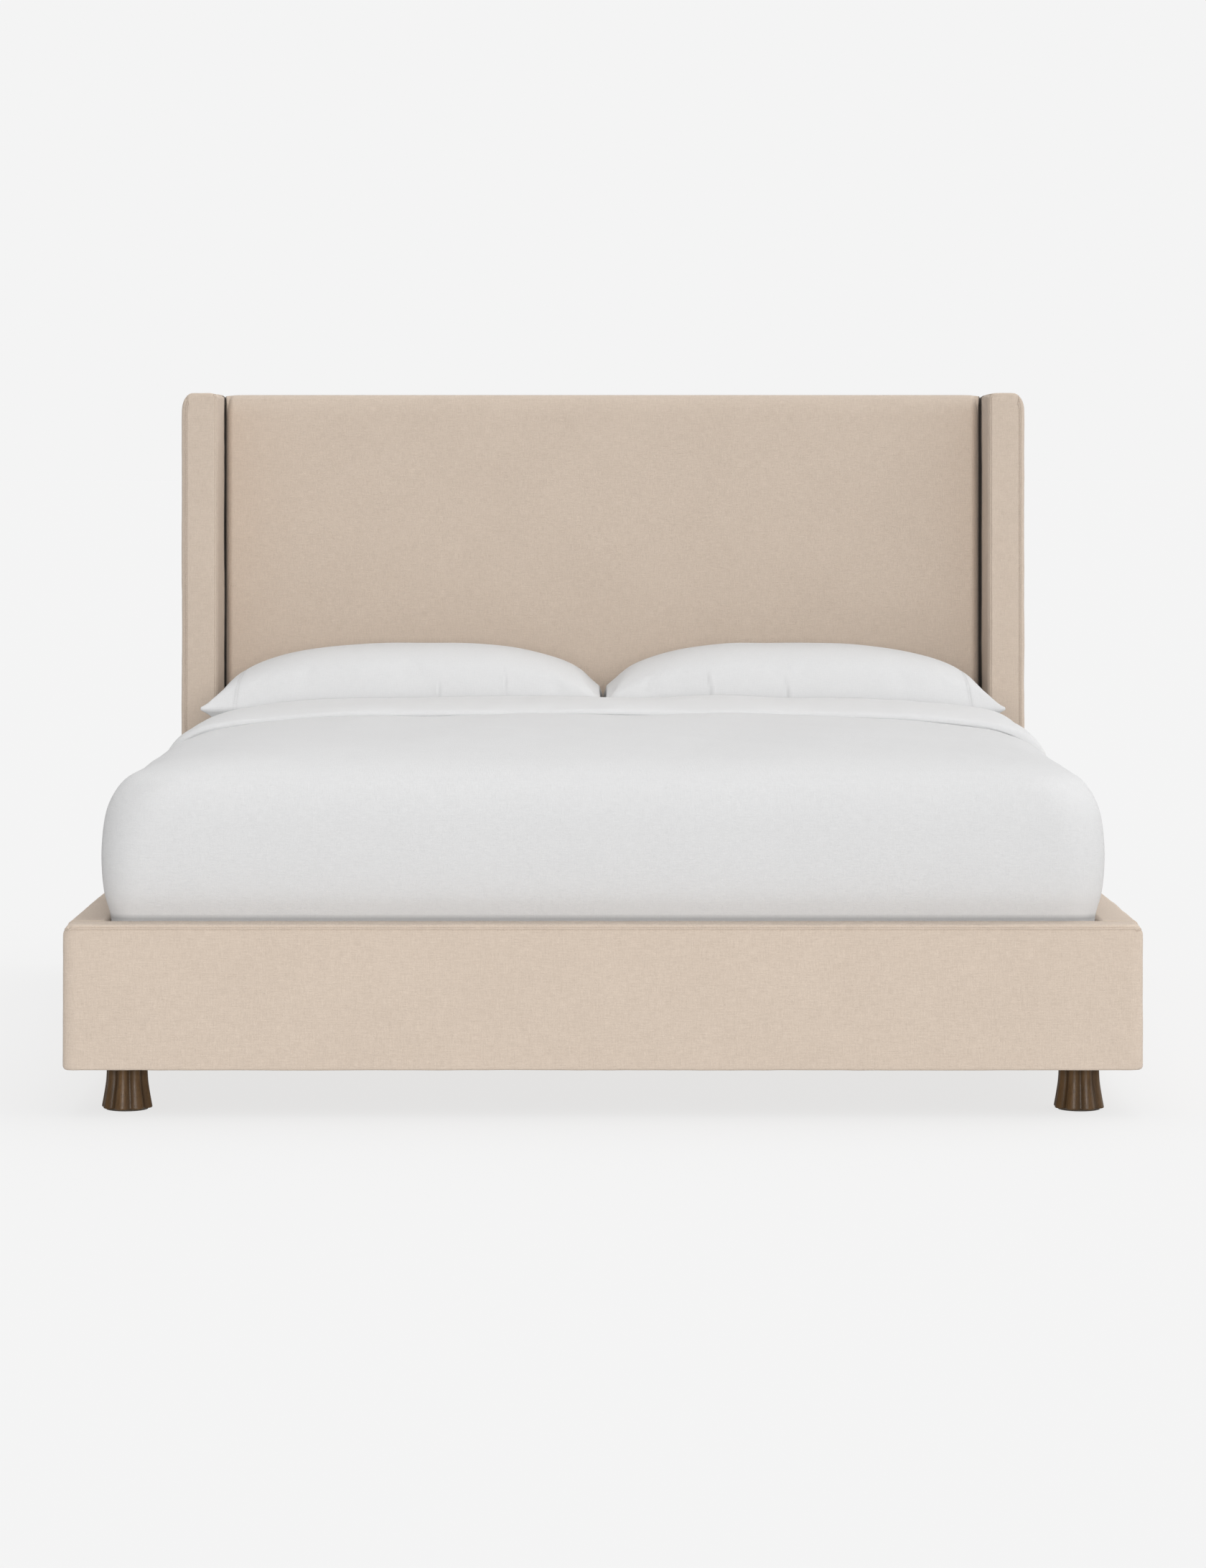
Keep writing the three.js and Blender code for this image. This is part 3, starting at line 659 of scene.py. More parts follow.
def make_headboard_back():
    """Lining pulled over the back, with a turned hem and a few slack ripples."""
    low, high = span("headboard_back_cover")
    xs, _, zs = box_lines(low, high, (12, (14, 1.5), (14, 1.5)), (12,), (12, (14, 1.5), (14, 1.5)))
    ys = np.array([low[1], low[1] + 2 * MM, high[1] - 2 * MM, high[1]])
    flat, faces = box_grid(xs, ys, zs)
    points = soften(flat, low, high, 2 * MM)
    inset = np.minimum(high[0] - np.abs(flat[:, 0]), np.minimum(flat[:, 2] - low[2], high[2] - flat[:, 2]))
    hem = ridge(inset - LINING_HEM, 1.6 * MM)
    slack = ramp(inset - 12 * MM, 60 * MM)
    back = (flat[:, 1] > high[1] - 1 * MM).astype(float)
    ripple = 0.5 + 0.35 * wobble(points * [1, 1, 0.35], 0.22, 31)
    points[:, 1] -= back * (1.3 * MM * hem + 1.6 * MM * slack * np.clip(ripple, 0, 1))
    obj = make_object("headboard_back_lining", points, faces)
    # Painted shade along the turned hem's groove.
    set_painted_shade(obj, hem * back * 0.28)
    finish_piece(obj, LINING, "bed_frame", "lining", "headboard_back_cover")
    x = np.linspace(low[0] + LINING_HEM, high[0] - LINING_HEM, 120)
    z = np.linspace(low[2] + LINING_HEM, high[2] - LINING_HEM, 90)
    start = high[1] + CLEAR
    rows = [row(x, start, end) for end in (z[0], z[-1])] + [row(end, start, z) for end in (x[0], x[-1])]
    stitch_row("headboard_back_stitching", obj, rows, (0, -1, 0), slot="lining")


# Legs ---------------------------------------------------------------------------------------------

LEG_LOBES = 8
LOBE_STEPS = 26
FLUTE = 7.0 * MM
LEG_VALLEYS = {"foot_left": -32, "foot_right": -46.6, "head_left": -20, "head_right": -40}     # degrees
LEG_EDGE = 2.2 * MM     # how far the rounding of the leg's foot reaches up
LEG_HEIGHTS = np.array([0, 5, 16, 27, 38, 48, 60, 74]) * MM
LEG_RADII = np.array([42.3, 41.7, 39.5, 37.6, 35.7, 34.5, 33.9, 33.7]) * MM


def leg_radius(height):
    """Radius over the lobes, flaring to the floor, with the straight runs between sizes smoothed out."""
    return np.mean([np.interp(height + d, LEG_HEIGHTS, LEG_RADII) for d in np.linspace(-5, 5, 9) * MM])


def make_leg(name, valley):
    """A turned leg with broad rounded lobes. valley is a groove's bearing from the foot end, in degrees."""
    low, high = span(f"leg_{name}")
    middle = (low + high) / 2
    steps = LEG_LOBES * LOBE_STEPS
    around = np.linspace(0, 2 * math.pi, steps, endpoint=False)
    across = np.abs((around * LEG_LOBES / (2 * math.pi)) % 1 * 2 - 1)
    lobe = FLUTE * (across ** 2.1 - 0.25 * across ** 12)
    angle = around + math.radians(valley - 90)
    height = high[2] - low[2]
    turn = np.linspace(0, math.pi / 2, 6)
    rises = np.concatenate([LEG_EDGE * (1 - np.cos(turn)), np.linspace(LEG_EDGE * 1.6, height - LEG_EDGE, 34),
                            [height - LEG_EDGE * 0.4, height]])
    rings = []
    for rise in rises:
        bottom = LEG_EDGE * (1 - math.sqrt(1 - max(0.0, 1 - rise / LEG_EDGE) ** 2))
        top = 0.8 * MM * max(0.0, 1 - (height - rise) / LEG_EDGE)
        radius = leg_radius(low[2] + rise) - bottom - top - lobe
        x, y = middle[0] + radius * np.cos(angle), middle[1] + radius * np.sin(angle)
        rings.append(row(x, y, low[2] + rise))
    points = np.concatenate(rings + [[[middle[0], middle[1], low[2]], [middle[0], middle[1], high[2]]]])
    faces = []
    for i in range(steps):
        j = (i + 1) % steps
        faces += [(k * steps + i, k * steps + j, (k + 1) * steps + j, (k + 1) * steps + i)
                  for k in range(len(rings) - 1)]
        last = (len(rings) - 1) * steps
        faces += [(len(points) - 2, j, i), (len(points) - 1, last + i, last + j)]
    obj = make_object(f"fluted_leg_{name}", points, faces)
    # Painted shade: the wood darkens towards the bottom of each flute, where shade falls.
    valley_painted_shade = np.append(np.tile(lobe / FLUTE, len(rings)), (0, 0))
    set_painted_shade(obj, valley_painted_shade)
    finish_piece(obj, WALNUT, "bed_frame", "walnut", f"leg_{name}")


# Bedding --------------------------------------------------------------------------------------------

QUILT = 110 * MM


def make_mattress():
    """Ticking over springs: piping tape above the bottom edge, quilted below."""
    low, high = span("mattress")
    radius, tape = 40 * MM, 24 * MM
    side = (20, (40, 5), (40, 5))
    flat, faces = box_grid(*box_lines(low, high, side, side, (14, (44, 2.5))))
    points = soften(flat, low, high, radius)
    rise = points[:, 2] - low[2]
    lower = ramp(70 * MM - rise, 20 * MM)
    piping = 3.0 * MM * ridge(rise - tape, 3.5 * MM)
    quilt = np.abs(np.prod(np.sin(points[:, :2] * math.pi / QUILT), axis=1)) ** 0.5
    under = ramp(8 * MM - rise, 6 * MM)
    press = piping - 3 * MM * lower - 2.0 * MM * (1 - quilt) * under
    points = points + normals_of(points, faces) * press[:, None]
    points[:, 2] = np.maximum(points[:, 2], low[2])
    obj = make_object("mattress_body", points, faces)
    # Painted shade either side of the piping tape.
    set_painted_shade(obj, 0.28 * sum(ridge(rise - tape - edge, 2.5 * MM) for edge in (-7 * MM, 7 * MM)))
    finish_piece(obj, TICKING, "mattress_set", "ticking", "mattress")


def make_fitted_sheet():
    """A sheet stretched over the mattress, gathered by its elastic along the hem."""
    low, high = span("fitted_sheet")
    side = (18, (44, 4), (44, 4))
    flat, faces = box_grid(*box_lines(low, high, side, side, (12, (24, 3), (44, 5))))
    points = soften(flat, low - [0, 0, 0.1], high, 43 * MM)
    normals = normals_of(points, faces)
    open_faces = faces[~(flat[faces][:, :, 2] <= low[2] + 1e-9).all(axis=1)]
    around = np.arctan2(points[:, 1] / high[1], points[:, 0] / high[0])
    hem = np.clip(1 - (points[:, 2] - low[2]) / (90 * MM), 0, 1) ** 2
    gather = 1.4 * MM * np.sin(around * 150 + 2 * np.sin(around * 31)) * hem
    points = points + normals * (gather - 1.4 * MM)[:, None]
    used, renumbered = np.unique(open_faces.ravel(), return_inverse=True)
    obj = make_object("bed_sheet", points[used], renumbered.reshape(-1, 4))
    finish_piece(obj, LINEN, "mattress_set", "linen", "fitted_sheet")


def smooth_levels(levels, count):
    """Rows of values between the given ones, following a smooth curve that doesn't overshoot."""
    levels = np.array(levels, float)
    reach = np.concatenate([[0], np.cumsum(np.linalg.norm(np.diff(levels, axis=0), axis=1) ** 0.75)])
    slope = np.gradient(levels, reach, axis=0)
    places = np.linspace(0, reach[-1], count)
    rows = []
    for place in places:
        i = min(max(np.searchsorted(reach, place) - 1, 0), len(reach) - 2)
        size = reach[i + 1] - reach[i]
        t = (place - reach[i]) / size
        rows.append((2 * t ** 3 - 3 * t ** 2 + 1) * levels[i] + (t ** 3 - 2 * t ** 2 + t) * size * slope[i]
                    + (3 * t ** 2 - 2 * t ** 3) * levels[i + 1] + (t ** 3 - t ** 2) * size * slope[i + 1])
    return np.array(rows)


def shell(points, faces, thickness):
    """Closes an open sheet into a shell: a second sheet, thickness inside, and a band joining the rims."""
    normals = normals_of(points, faces)
    count = len(points)
    inside = points - normals * thickness
    edges = np.concatenate([faces[:, [i, (i + 1) % 4]] for i in range(4)])
    edges = edges[edges[:, 0] != edges[:, 1]]
    keys = np.sort(edges, axis=1)
    _, index, uses = np.unique(keys, axis=0, return_index=True, return_counts=True)
    rim = edges[index[uses == 1]]
    band = np.stack([rim[:, 1], rim[:, 0], rim[:, 0] + count, rim[:, 1] + count], axis=1)
    return np.concatenate([points, inside]), np.concatenate([faces, faces[:, ::-1] + count, band])


# The duvet at each level, in mm: in from its widest, back from the footboard, corner radius, height
DUVET_SHAPE = [
    (18, 4, 40, 0), (17, 4, 40, 46), (5, -8, 60, 88), (0, -14, 75, 163), (9, -8, 90, 228), (30, 12, 100, 264),
    (66, 54, 110, 283), (142, 132, 130, 298), (314, 330, 160, 311), (554, 560, 200, 317), (813, 800, 1, 319),
]
DUVET_WIDEST = 814 * MM
DUVET_THICK = 24 * MM


def duvet_surface(along):
    """The duvet's outside: rows of points from the tuck up to the middle line, each a U round the foot."""
    low, high = span("duvet")
    back = high[1]
    straight, corner, front = 110, 14, 120
    rows = []
    for inset, setback, radius, height in smooth_levels(DUVET_SHAPE, along) * MM:
        half = max(DUVET_WIDEST - inset, 0.0)
        radius = min(radius, half)
        nose = FOOT_BACK + setback
        path = [(half, y) for y in np.linspace(back, nose + radius, straight, endpoint=False)]
        path += [(half - radius * (1 - math.cos(a)), nose + radius * (1 + math.sin(a)))
                 for a in np.linspace(0, -math.pi / 2, corner, endpoint=False)]
        path += [(x, nose) for x in np.linspace(half - radius, radius - half, front, endpoint=False)]
        path += [(-half + radius * (1 + math.cos(a)), nose + radius * (1 + math.sin(a)))
                 for a in np.linspace(-math.pi / 2, -math.pi, corner, endpoint=False)]
        path += [(-half, y) for y in np.linspace(nose + radius, back, straight)]
        rows.append([(x, y, low[2] + height) for x, y in path])
    return np.array(rows)


def make_duvet():
    """A duvet tucked in at the foot and sides, smooth over the foot and gently uneven elsewhere."""
    rows = duvet_surface(110)
    levels, count = rows.shape[:2]
    index = np.arange(levels * count).reshape(levels, count)
    index[-1, :] = np.minimum(index[-1, :], index[-1, ::-1])
    faces = quads_of(index, (1, 2, 3, 0))
    points = rows.reshape(-1, 3)
    foot = ramp(points[:, 1] - FOOT_BACK, 0.35)
    loose = ramp(points[:, 2] - RAIL_TOP, 0.06)
    puff = 2.2 * MM * wobble(points, 0.42, 41) * foot + 0.5 * MM * wobble(points, 0.12, 42) * foot
    tuck = np.sin(points[:, 1] / 0.024 + 1.5 * wobble(points, 0.2, 43))
    tuck *= ridge(points[:, 2] - RAIL_TOP, 0.035)
    side = (np.abs(points[:, 0]) > 0.74).astype(float) * foot
    points = points + normals_of(points, faces) * (puff * loose + 1.1 * MM * tuck * side)[:, None]
    points, faces = shell(points, faces, DUVET_THICK)
    obj = make_object("duvet_body", points, clean(faces))
    # Painted shade: a dark line where the duvet tucks in at the rails' top.
    set_painted_shade(obj, 0.9 * ridge(points[:, 2] - RAIL_TOP, 2.5 * MM))
    finish_piece(obj, LINEN, "mattress_set", "linen", "duvet")


def clean(faces):
    """Drops the repeated corners of faces that meet on the duvet's middle line."""
    kept = []
    for face in faces:
        corners = [int(c) for c, before in zip(face, np.roll(face, 1)) if c != before]
        if len(set(corners)) >= 3:
            kept.append(tuple(corners))
    return kept


# Half of the turned-back end's section, in mm: out from the middle, and above the duvet's bottom
TURNBACK_SHAPE = [
    (0, 330.5), (300, 329), (470, 326.5), (600, 321), (700, 311), (766, 294), (802, 272), (824, 243),
    (833, 205), (834, 165), (828, 120), (816, 84),
]
TURNBACK_THICK = 13 * MM
TURNBACK_LENGTH = 420 * MM
TURNBACK_SINK = 7 * MM      # how far its free edge is pressed into the duvet
TURNBACK_BULGE = 10 * MM    # how much fuller it is over the mattress's right edge


def make_turnback():
    """The head end of the duvet, folded back on itself, with a rounded free edge and a fuller fold behind."""
    low, high = span("duvet")
    half = np.array([(x, z) for x, z in TURNBACK_SHAPE]) * MM
    half[:, 1] += low[2]
    section = np.concatenate([half[:0:-1] * [-1, 1], half])
    steps = np.concatenate([[0], np.cumsum(np.linalg.norm(np.diff(section, axis=0), axis=1))])
    fine = np.linspace(0, steps[-1], 260)
    curve = np.stack([np.interp(fine, steps, section[:, k]) for k in (0, 1)], axis=1)
    for _ in range(30):
        curve[1:-1] = (curve[:-2] + 2 * curve[1:-1] + curve[2:]) / 4
    run = np.gradient(curve, axis=0)
    run /= np.linalg.norm(run, axis=1, keepdims=True)
    normal = np.stack([-run[:, 1], run[:, 0]], axis=1)
    radius, fold = TURNBACK_THICK / 2, TURNBACK_THICK * 0.8
    start, end = high[1] - TURNBACK_LENGTH, high[1]
    arc = np.linspace(0, math.pi / 2, 9)
    front = start + radius * (1 - np.cos(arc))
    back = end - fold * (1 - np.cos(arc[::-1]))
    stations = np.concatenate([front, np.linspace(start + radius, end - fold, 42)[1:-1], back])
    share = np.ones(len(stations))
    share[:9] = np.sin(arc)
    share[-9:] = np.sin(arc[::-1])
    ends = np.sqrt(np.clip(1 - np.clip(1 - np.minimum(fine, fine[-1] - fine) / radius, 0, 1) ** 2, 0, 1))
    layers = []
    for side in (1, -1):
        for y, thick in zip(stations, share):
            place = curve + normal * (side * radius * thick * ends - radius)[:, None]
            layers.append(row(place[:, 0], y, place[:, 1]))
    grid = np.array(layers).reshape(2, len(stations), len(fine), 3)
    edge = wobble(grid.reshape(-1, 3) * [1, 0, 0], 0.5, 51).reshape(grid.shape[:3])
    near = np.clip(1 - (grid[..., 1] - start) / 0.1, 0, 1)
    grid[..., 1] += 4 * MM * edge * near
    grid[..., 2] -= TURNBACK_SINK * near ** 2
    index = np.arange(2 * len(stations) * len(fine)).reshape(2, len(stations), len(fine))
    index[1, 0], index[1, -1] = index[0, 0], index[0, -1]
    index[1, :, 0], index[1, :, -1] = index[0, :, 0], index[0, :, -1]
    faces = np.concatenate([quads_of(index[0], (0, 3, 2, 1)), quads_of(index[1], (1, 2, 3, 0))])
    points = grid.reshape(-1, 3)
    puff = 1.6 * MM * wobble(points, 0.3, 52) + 0.5 * MM * wobble(points, 0.1, 53)
    puff += TURNBACK_BULGE * ridge(points[:, 0] - 0.8, 0.07)
    outside = np.arange(len(points)) < index[0].size
    points = points + normals_of(points, faces) * (puff * outside)[:, None]
    used, renumbered = np.unique(faces.ravel(), return_inverse=True)
    obj = make_object("duvet_turnback", points[used], clean(renumbered.reshape(-1, 4)))
    # Linen painted paler, as painted light.
    finish_piece(obj, LINEN_PAINTED_PALER, "mattress_set", "linen")


# Pillows ------------------------------------------------------------------------------------------

SEAM_RISE = 34 * MM             # the side seam, above the pillow's underside
SWELL, SWELL_LIMIT = 12.5 * MM, 12 * MM
OUTER_REACH = 0.032             # how much longer a pillow's outer half is, as a share of its half width
OUTER_SPARE = 14 * MM
PILLOW_GAP = 0.8 * MM           # from the bed's middle to each pillow
PILLOW_PEAK = -0.12             # where a pillow is tallest: 0 is its middle, 1 its outer end
OUTER_EDGE, INNER_EDGE = 0.06, 0.28     # how tall a pillow's ends start out, as shares of its crown
PILLOW_HEMS = (60 * MM, 64.5 * MM)
CLOTH_STEPS = 20


def pulled_in(outward, v):
    """How far a pillow's ends are drawn in between its corners, as a share of its half width."""
    share = np.where(outward > 0, 0.024, 0.004)
    return share * (1 - v ** 4) * outward ** 2 - OUTER_REACH * np.clip(outward, 0, 1)


def pillow_start(sign, low, high):
    """A pillow before it is filled out: knife edges, sides pulled in between the corners, a flat underside.

    Its inner end is blunt, where it is pressed against the other pillow.
    """
    middle = (low + high) / 2
    reach = (high - low) / 2
    across, along = 104, 70
    spaced = (np.linspace(-1, 1, across), np.linspace(-1, 1, along))
    eased = [0.5 * t + 0.5 * np.sin(t * math.pi / 2) for t in spaced]
    u, v = np.meshgrid(*eased, indexing="ij")
    outward = u * sign
    head = OUTER_REACH * 0.9 * ramp(v - 0.4, 0.4) * (outward > 0)
    x = reach[0] * u * (1 - pulled_in(outward, v) - head)
    y = (reach[1] - 4 * MM) * v * (1 - 0.03 * (1 - u ** 4) * np.abs(v) ** 2)
    skew = (outward - PILLOW_PEAK) / np.where(outward > PILLOW_PEAK, 1 - PILLOW_PEAK, 1 + PILLOW_PEAK)
    outer_fall = OUTER_EDGE + (1 - OUTER_EDGE) * np.clip(1 - np.abs(skew) ** 3.2, 0, 1) ** 0.81
    inner_fall = INNER_EDGE + (1 - INNER_EDGE) * np.clip(1 - np.abs(skew) ** 2.8, 0, 1)
    width_fall = np.where(skew > 0, outer_fall, inner_fall)
    depth_fall = np.clip(1 - np.abs(v) ** 2.6, 0, 1) ** 0.62
    crown = high[2] - low[2] - SEAM_RISE - SWELL
    top = crown * width_fall * depth_fall
    flat = (1 - np.abs(u) ** 14) * (1 - np.abs(v) ** 10)
    bottom = SEAM_RISE * np.clip(flat * 1.5, 0, 1)
    base = low[2] + SEAM_RISE
    upper = np.stack([middle[0] + x, middle[1] + y, base + top], axis=-1)
    lower = np.stack([middle[0] + x, middle[1] + y, base - bottom], axis=-1)
    count = across * along
    index = np.arange(count).reshape(across, along)
    under = index + count
    for edge in (np.s_[0, :], np.s_[-1, :], np.s_[:, 0], np.s_[:, -1]):
        under[edge] = index[edge]
    faces = np.concatenate([quads_of(index), quads_of(under, (3, 2, 1, 0))])
    used, faces = np.unique(faces.ravel(), return_inverse=True)
    points = np.concatenate([upper.reshape(-1, 3), lower.reshape(-1, 3)])[used]
    return points, faces.reshape(-1, 4)


def evaluated(obj):
    """The object's mesh with its modifiers applied."""
    graph = bpy.context.evaluated_depsgraph_get()
    return bpy.data.meshes.new_from_object(obj.evaluated_get(graph))


def positions(mesh):
    values = np.empty(len(mesh.vertices) * 3)
    mesh.vertices.foreach_get("co", values)
    return values.reshape(-1, 3)


def settle(obj, low):
    """Fills the pillow out by cloth simulation with pressure, and keeps it above what it rests on."""
    before = after = positions(obj.data)
    cloth = obj.modifiers.new("cloth", "CLOTH")
    settings = cloth.settings
    settings.quality = 5
    settings.use_pressure = True
    settings.uniform_pressure_force = 4.0
    settings.tension_stiffness = 12
    settings.compression_stiffness = 6
    settings.bending_stiffness = 0.6
    settings.effector_weights.gravity = 0
    cloth.collision_settings.use_collision = False
    cloth.point_cache.frame_start, cloth.point_cache.frame_end = 1, CLOTH_STEPS
    for step in range(1, CLOTH_STEPS + 1):
        bpy.context.scene.frame_set(step)
    after = positions(evaluated(obj))
    obj.modifiers.clear()
    bpy.context.scene.frame_set(1)
    move = after - before
    length = np.linalg.norm(move, axis=1, keepdims=True)
    move *= np.minimum(1, SWELL_LIMIT / np.maximum(length, 1e-9))
    placed = before + move
    placed[:, 2] = np.maximum(placed[:, 2], low[2])
    obj.data.vertices.foreach_set("co", placed.ravel())
    subdivide = obj.modifiers.new("subdivide", "SUBSURF")
    subdivide.levels = subdivide.render_levels = 1
    obj.data = evaluated(obj)
    obj.modifiers.clear()


# Creases in each pillowcase, in mm: out from its inner end, lowest height, highest height
PILLOW_CREASES = {"left": ((190, 40, 122), (322, 48, 106)), "right": ((207, 40, 118), (359, 44, 104))}


def pillow_creases(points, side, sign, low, high):
    """Upright creases pressed into the front of a pillow: the pressing, and the painted shade down them."""
    inner = low[0] if sign > 0 else high[0]
    rise = points[:, 2] - low[2]
    front = ramp((low[1] + high[1]) / 2 - points[:, 1], 60 * MM)
    press, tone = np.zeros(len(points)), np.zeros(len(points))
    for place, bottom, top in PILLOW_CREASES[side]:
        line = inner + sign * place * MM + 4 * MM * np.sin(rise / (30 * MM))
        tall = ramp(rise - bottom * MM, 12 * MM) * ramp(top * MM - rise, 30 * MM) * front
        away = (points[:, 0] - line) * sign
        press += (1.4 * MM * ridge(away - 4 * MM, 5 * MM) - 1.8 * MM * ridge(away, 2.6 * MM)) * tall
        # Painted shade down each crease.
        tone += 0.14 * ridge(away, 2.2 * MM) * tall
    return press, tone


def make_pillow(side, sign):
    low, high = span(f"pillow_{side}")
    middle, half = (low + high) / 2, (high - low) / 2
    points, faces = pillow_start(sign, low, high)
    obj = make_object(f"pillow_{side}_case", points, faces)
    settle(obj, low)
    points = positions(obj.data)
    faces = np.array([tuple(p.vertices) for p in obj.data.polygons])
    across = points[:, 0] * sign
    farthest = max(abs(low[0]), abs(high[0])) + OUTER_SPARE
    points[:, 0] = sign * np.interp(across, (across.min(), across.max()), (PILLOW_GAP, farthest))
    press, tone = pillow_creases(points, side, sign, low, high)

    def end_at(v):
        return middle[0] + sign * half[0] * (1 - pulled_in(np.ones(len(v)), v))

    end = end_at(np.clip((points[:, 1] - middle[1]) / half[1], -1, 1))
    for hem in PILLOW_HEMS:
        away = np.abs(points[:, 0] - (end - sign * hem))
        press -= 0.6 * MM * ridge(away, 1.8 * MM)
        # Painted shade along each hem's groove.
        tone += 0.11 * ridge(away, 1.5 * MM)
    press += 0.4 * MM * wobble(points, 0.14, 61 + sign)
    press += 2.5 * MM * ridge(points[:, 2] - low[2] - SEAM_RISE, 7 * MM)
    points = points + normals_of(points, faces) * press[:, None]
    points[:, 2] = np.clip(points[:, 2], low[2], high[2] + 4 * MM)
    points[:, 0] = np.clip(points[:, 0] * sign, PILLOW_GAP, farthest) * sign
    obj.data.vertices.foreach_set("co", points.ravel())
    obj.data.update()
    set_painted_shade(obj, tone)
    body = f"{side}_pillow"
    # Linen painted paler, as painted light.
    finish_piece(obj, LINEN_PAINTED_PALER, body, "linen", f"pillow_{side}")
    v = np.linspace(-0.97, 0.97, 90)
    rows = [row(end_at(v) - sign * hem, middle[1] + v * half[1], high[2] + CLEAR) for hem in PILLOW_HEMS]
    stitch_row(f"pillow_{side}_hem", obj, rows, (0, 0, -1), LINEN_THREAD, body, "linen")


# Stage ----------------------------------------------------------------------------------------------

WHITE = (1, 1, 1, 1)
LENS, SENSOR = 100.67, 36                       # mm
EYE_HEIGHT, EYE_DISTANCE, EYE_SHIFT = 1.0246, 7.0, -0.197
FLOOR_REACH, SEEN_REACH = 800.0, 2000
BACKDROP = 0.905
FLOOR_TONE, FLOOR_FILL = 0.165, 0.44
FLOOR_OPEN = 1.02       # what the dome alone adds to the open floor's tone, for each part of FLOOR_TONE
DOME = 0.37
# Broad glows in the dome: bearing, rise, strength, and how tightly each is gathered
GLOWS = [(106, 10, 1.4, 6), (70, 25, 0.37, 4), (160, 65, 1.7, 4)]
KEY_POWER, KEY_WIDTH, KEY_HEIGHT = 1430, 7.0, 3.8
KEY_BEARING, KEY_RISE, KEY_DISTANCE = 1, 7, 16
KEY_AIM = Vector((0, 0, 0.5))


def make_camera():
    """Stands well back from the foot end, level, above the mattress; the shift frames the bed."""
    data = bpy.data.cameras.new("camera")
    data.lens, data.sensor_width, data.shift_y = LENS, SENSOR, EYE_SHIFT
    data.clip_end = SEEN_REACH
    camera = bpy.data.objects.new("camera", data)
    camera.location = (0.0, FOOT_FRONT - EYE_DISTANCE, EYE_HEIGHT)
    camera.rotation_euler = (math.pi / 2, 0, 0)
    bpy.context.scene.collection.objects.link(camera)
    bpy.context.scene.camera = camera


def seen(nodes, direct, indirect):
    """One strength where the camera sees the backdrop, another for the light that it gives the bed."""
    to_camera = nodes.add("LightPath", {}).outputs["Is Camera Ray"]
    return nodes.add("Mix", {0: to_camera, 2: indirect, 3: direct}).outputs[0]


def make_floor():
    """A pale floor lit from below as well, as on a light table, so that shadows on it stay faint."""
    corners = [(x * FLOOR_REACH, y * FLOOR_REACH, 0) for x, y in ((-1, -1), (1, -1), (1, 1), (-1, 1))]
    floor = make_object("floor", corners, [(0, 1, 2, 3)], smooth=False)
    nodes = Material("pale_floor")
    glow = BACKDROP - FLOOR_TONE * FLOOR_OPEN
    floor.data.materials.append(nodes.finished({
        "Base Color": (FLOOR_TONE, FLOOR_TONE, FLOOR_TONE, 1),
        "Roughness": 1.0,
        "Specular IOR Level": 0.0,
        "Emission Color": WHITE,
        "Emission Strength": seen(nodes, glow, FLOOR_FILL),
    }))
    return floor


def towards(bearing, rise):
    """A direction: bearing is degrees to the right of the foot end, rise is degrees above level."""
    a, b = math.radians(bearing), math.radians(rise)
    return Vector((math.sin(a) * math.cos(b), -math.cos(a) * math.cos(b), math.sin(b)))


def make_key(floor):
    """A wide soft box turned towards the bed. It skips the floor, so that no pool of light shows there."""
    data = bpy.data.lights.new("key", "AREA")
    data.shape = "RECTANGLE"
    data.energy, data.size, data.size_y = KEY_POWER, KEY_WIDTH, KEY_HEIGHT
    light = bpy.data.objects.new("key", data)
    way = towards(KEY_BEARING, KEY_RISE)
    light.location = KEY_AIM + way * KEY_DISTANCE
    light.rotation_euler = way.to_track_quat("Z", "Y").to_euler()
    light.visible_camera = False
    bpy.context.scene.collection.objects.link(light)
    skipped = bpy.data.collections.new("not_lit_by_key")
    skipped.objects.link(floor)
    light.light_linking.receiver_collection = skipped
    skipped.collection_objects[0].light_linking.link_state = "EXCLUDE"


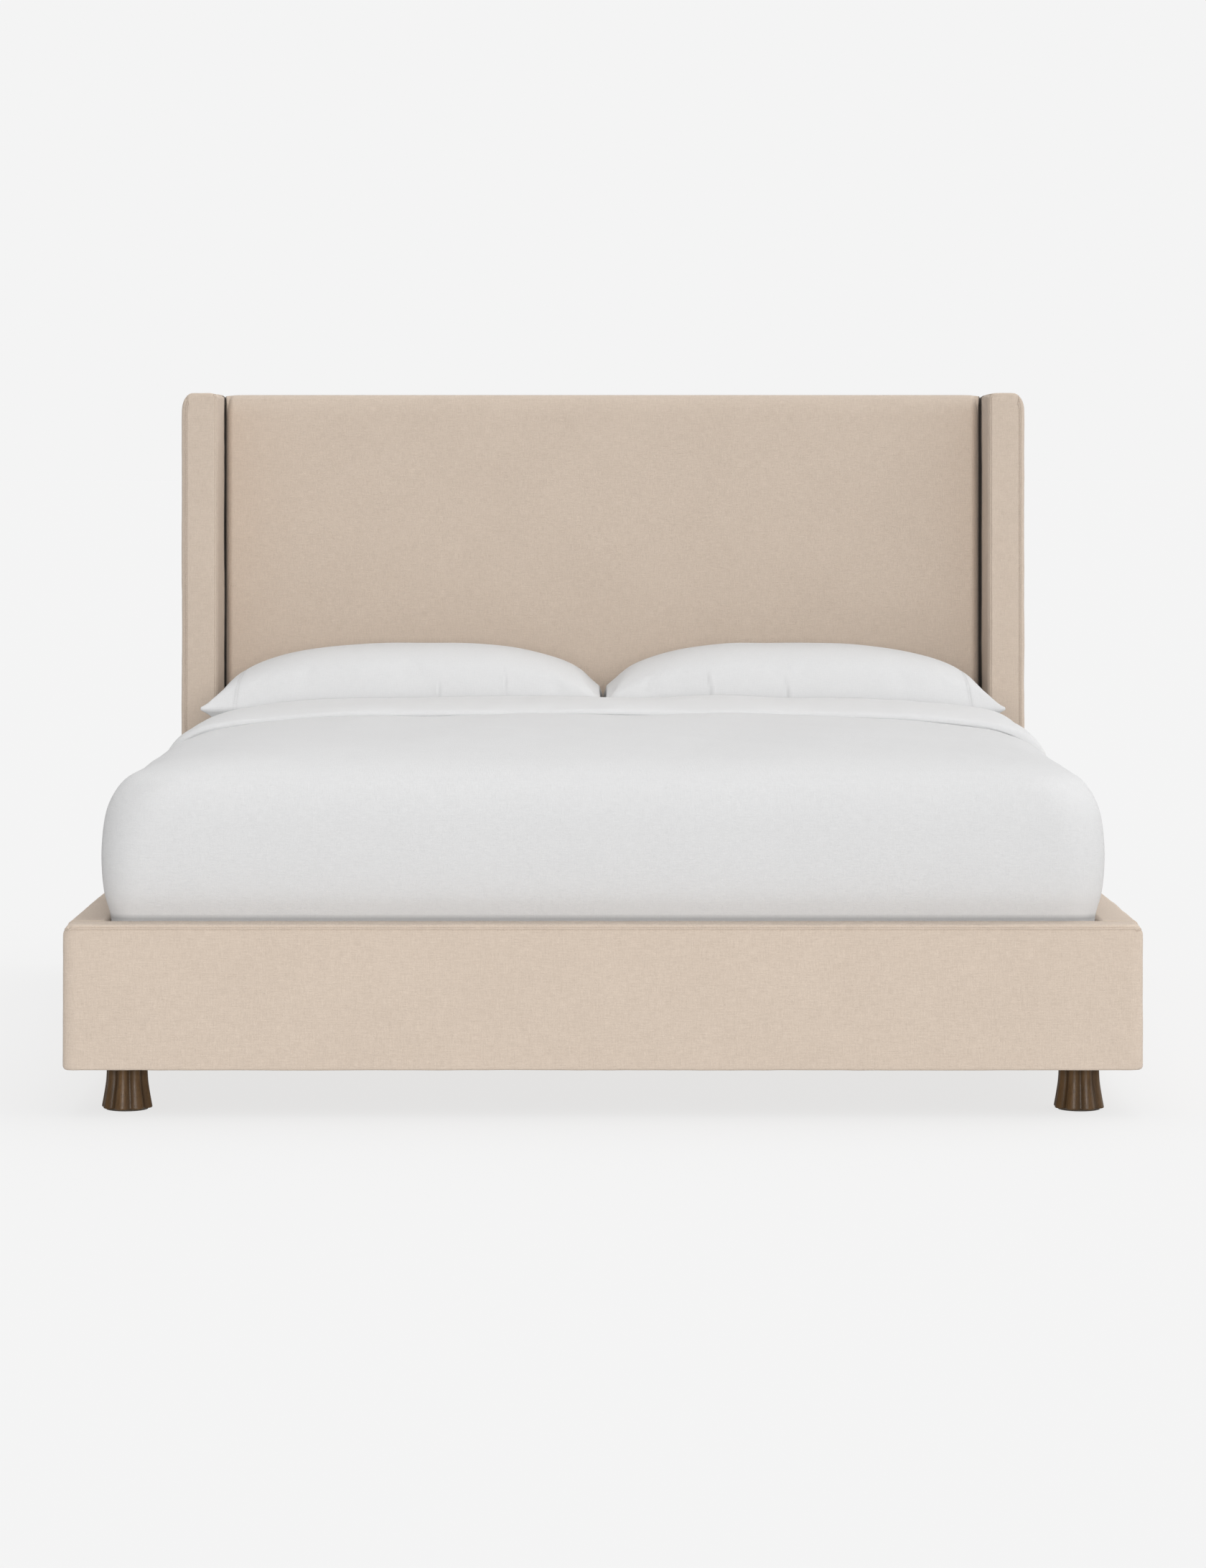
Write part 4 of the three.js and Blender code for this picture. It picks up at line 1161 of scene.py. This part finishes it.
def dome(nodes):
    """Strength of an even dome with broad glows in it."""
    place = nodes.add("TexCoord", {}).outputs["Generated"]
    total = DOME
    for bearing, rise, strength, gather in GLOWS:
        turn = nodes.add("VectorMath", {0: place, 1: towards(bearing, rise)})
        turn.operation = "DOT_PRODUCT"
        glow = nodes.math("POWER", nodes.math("MAXIMUM", turn.outputs["Value"], 0.0), gather)
        total = nodes.math("MULTIPLY_ADD", glow, strength, total)
    return total


def make_light(floor):
    world = bpy.data.worlds.new("studio")
    world.use_nodes = True
    nodes = Nodes(world.node_tree)
    color, strength = nodes.tree.nodes["Background"].inputs[:2]
    nodes.put(color, WHITE)
    nodes.put(strength, seen(nodes, BACKDROP, dome(nodes)))
    bpy.context.scene.world = world
    make_key(floor)
    bpy.context.scene.view_settings.view_transform = "Standard"


def repaint(material, edge, *nodes):
    """Gives CAD parts whose shape is right their material, and eases their sharp edges by edge in mm."""
    for node in nodes:
        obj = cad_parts[node]
        obj.data.materials.clear()
        obj.data.materials.append(material)
        bevel = obj.modifiers.new("eased_edges", "BEVEL")
        bevel.width, bevel.segments = edge * MM, 2
        bevel.limit_method, bevel.angle_limit = "ANGLE", math.radians(40)
        bevel.use_clamp_overlap = True


def named(*starts):
    return [n for n in sorted(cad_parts) if n.startswith(starts)]


make_camera()
make_light(make_floor())
make_footboard()
make_headboard_panel()
make_headboard_back()
for side, sign in SIDES:
    make_side_rail(side, sign)
    make_wing(side, sign)
for name, valley in LEG_VALLEYS.items():
    make_leg(name, valley)
make_mattress()
make_fitted_sheet()
make_duvet()
make_turnback()
for side, sign in SIDES:
    make_pillow(side, sign)
repaint(SLAT_WOOD, 2.0, *named("slat_"))
# The headboard core in near-black cloth, as painted shade in the gap beside the panel.
repaint(CAMBRIC_PAINTED_GAP_SHADE, 1.5, *named("headboard_core"))
repaint(BOARD, 1.5, *named("footboard_core", "side_rail_core", "wing_core", "ledger"))
repaint(BOARD, 1.5, *named("centre_beam", "corner_block", "support_leg"))
repaint(STEEL, 0.4, *named("corner_bracket", "beam_bracket"))
repaint(ZINC, 0.3, *named("leg_bolt"))
repaint(FELT, 0.5, *named("leg_glide"))
repaint(PLASTIC, 0.5, *named("support_foot"))
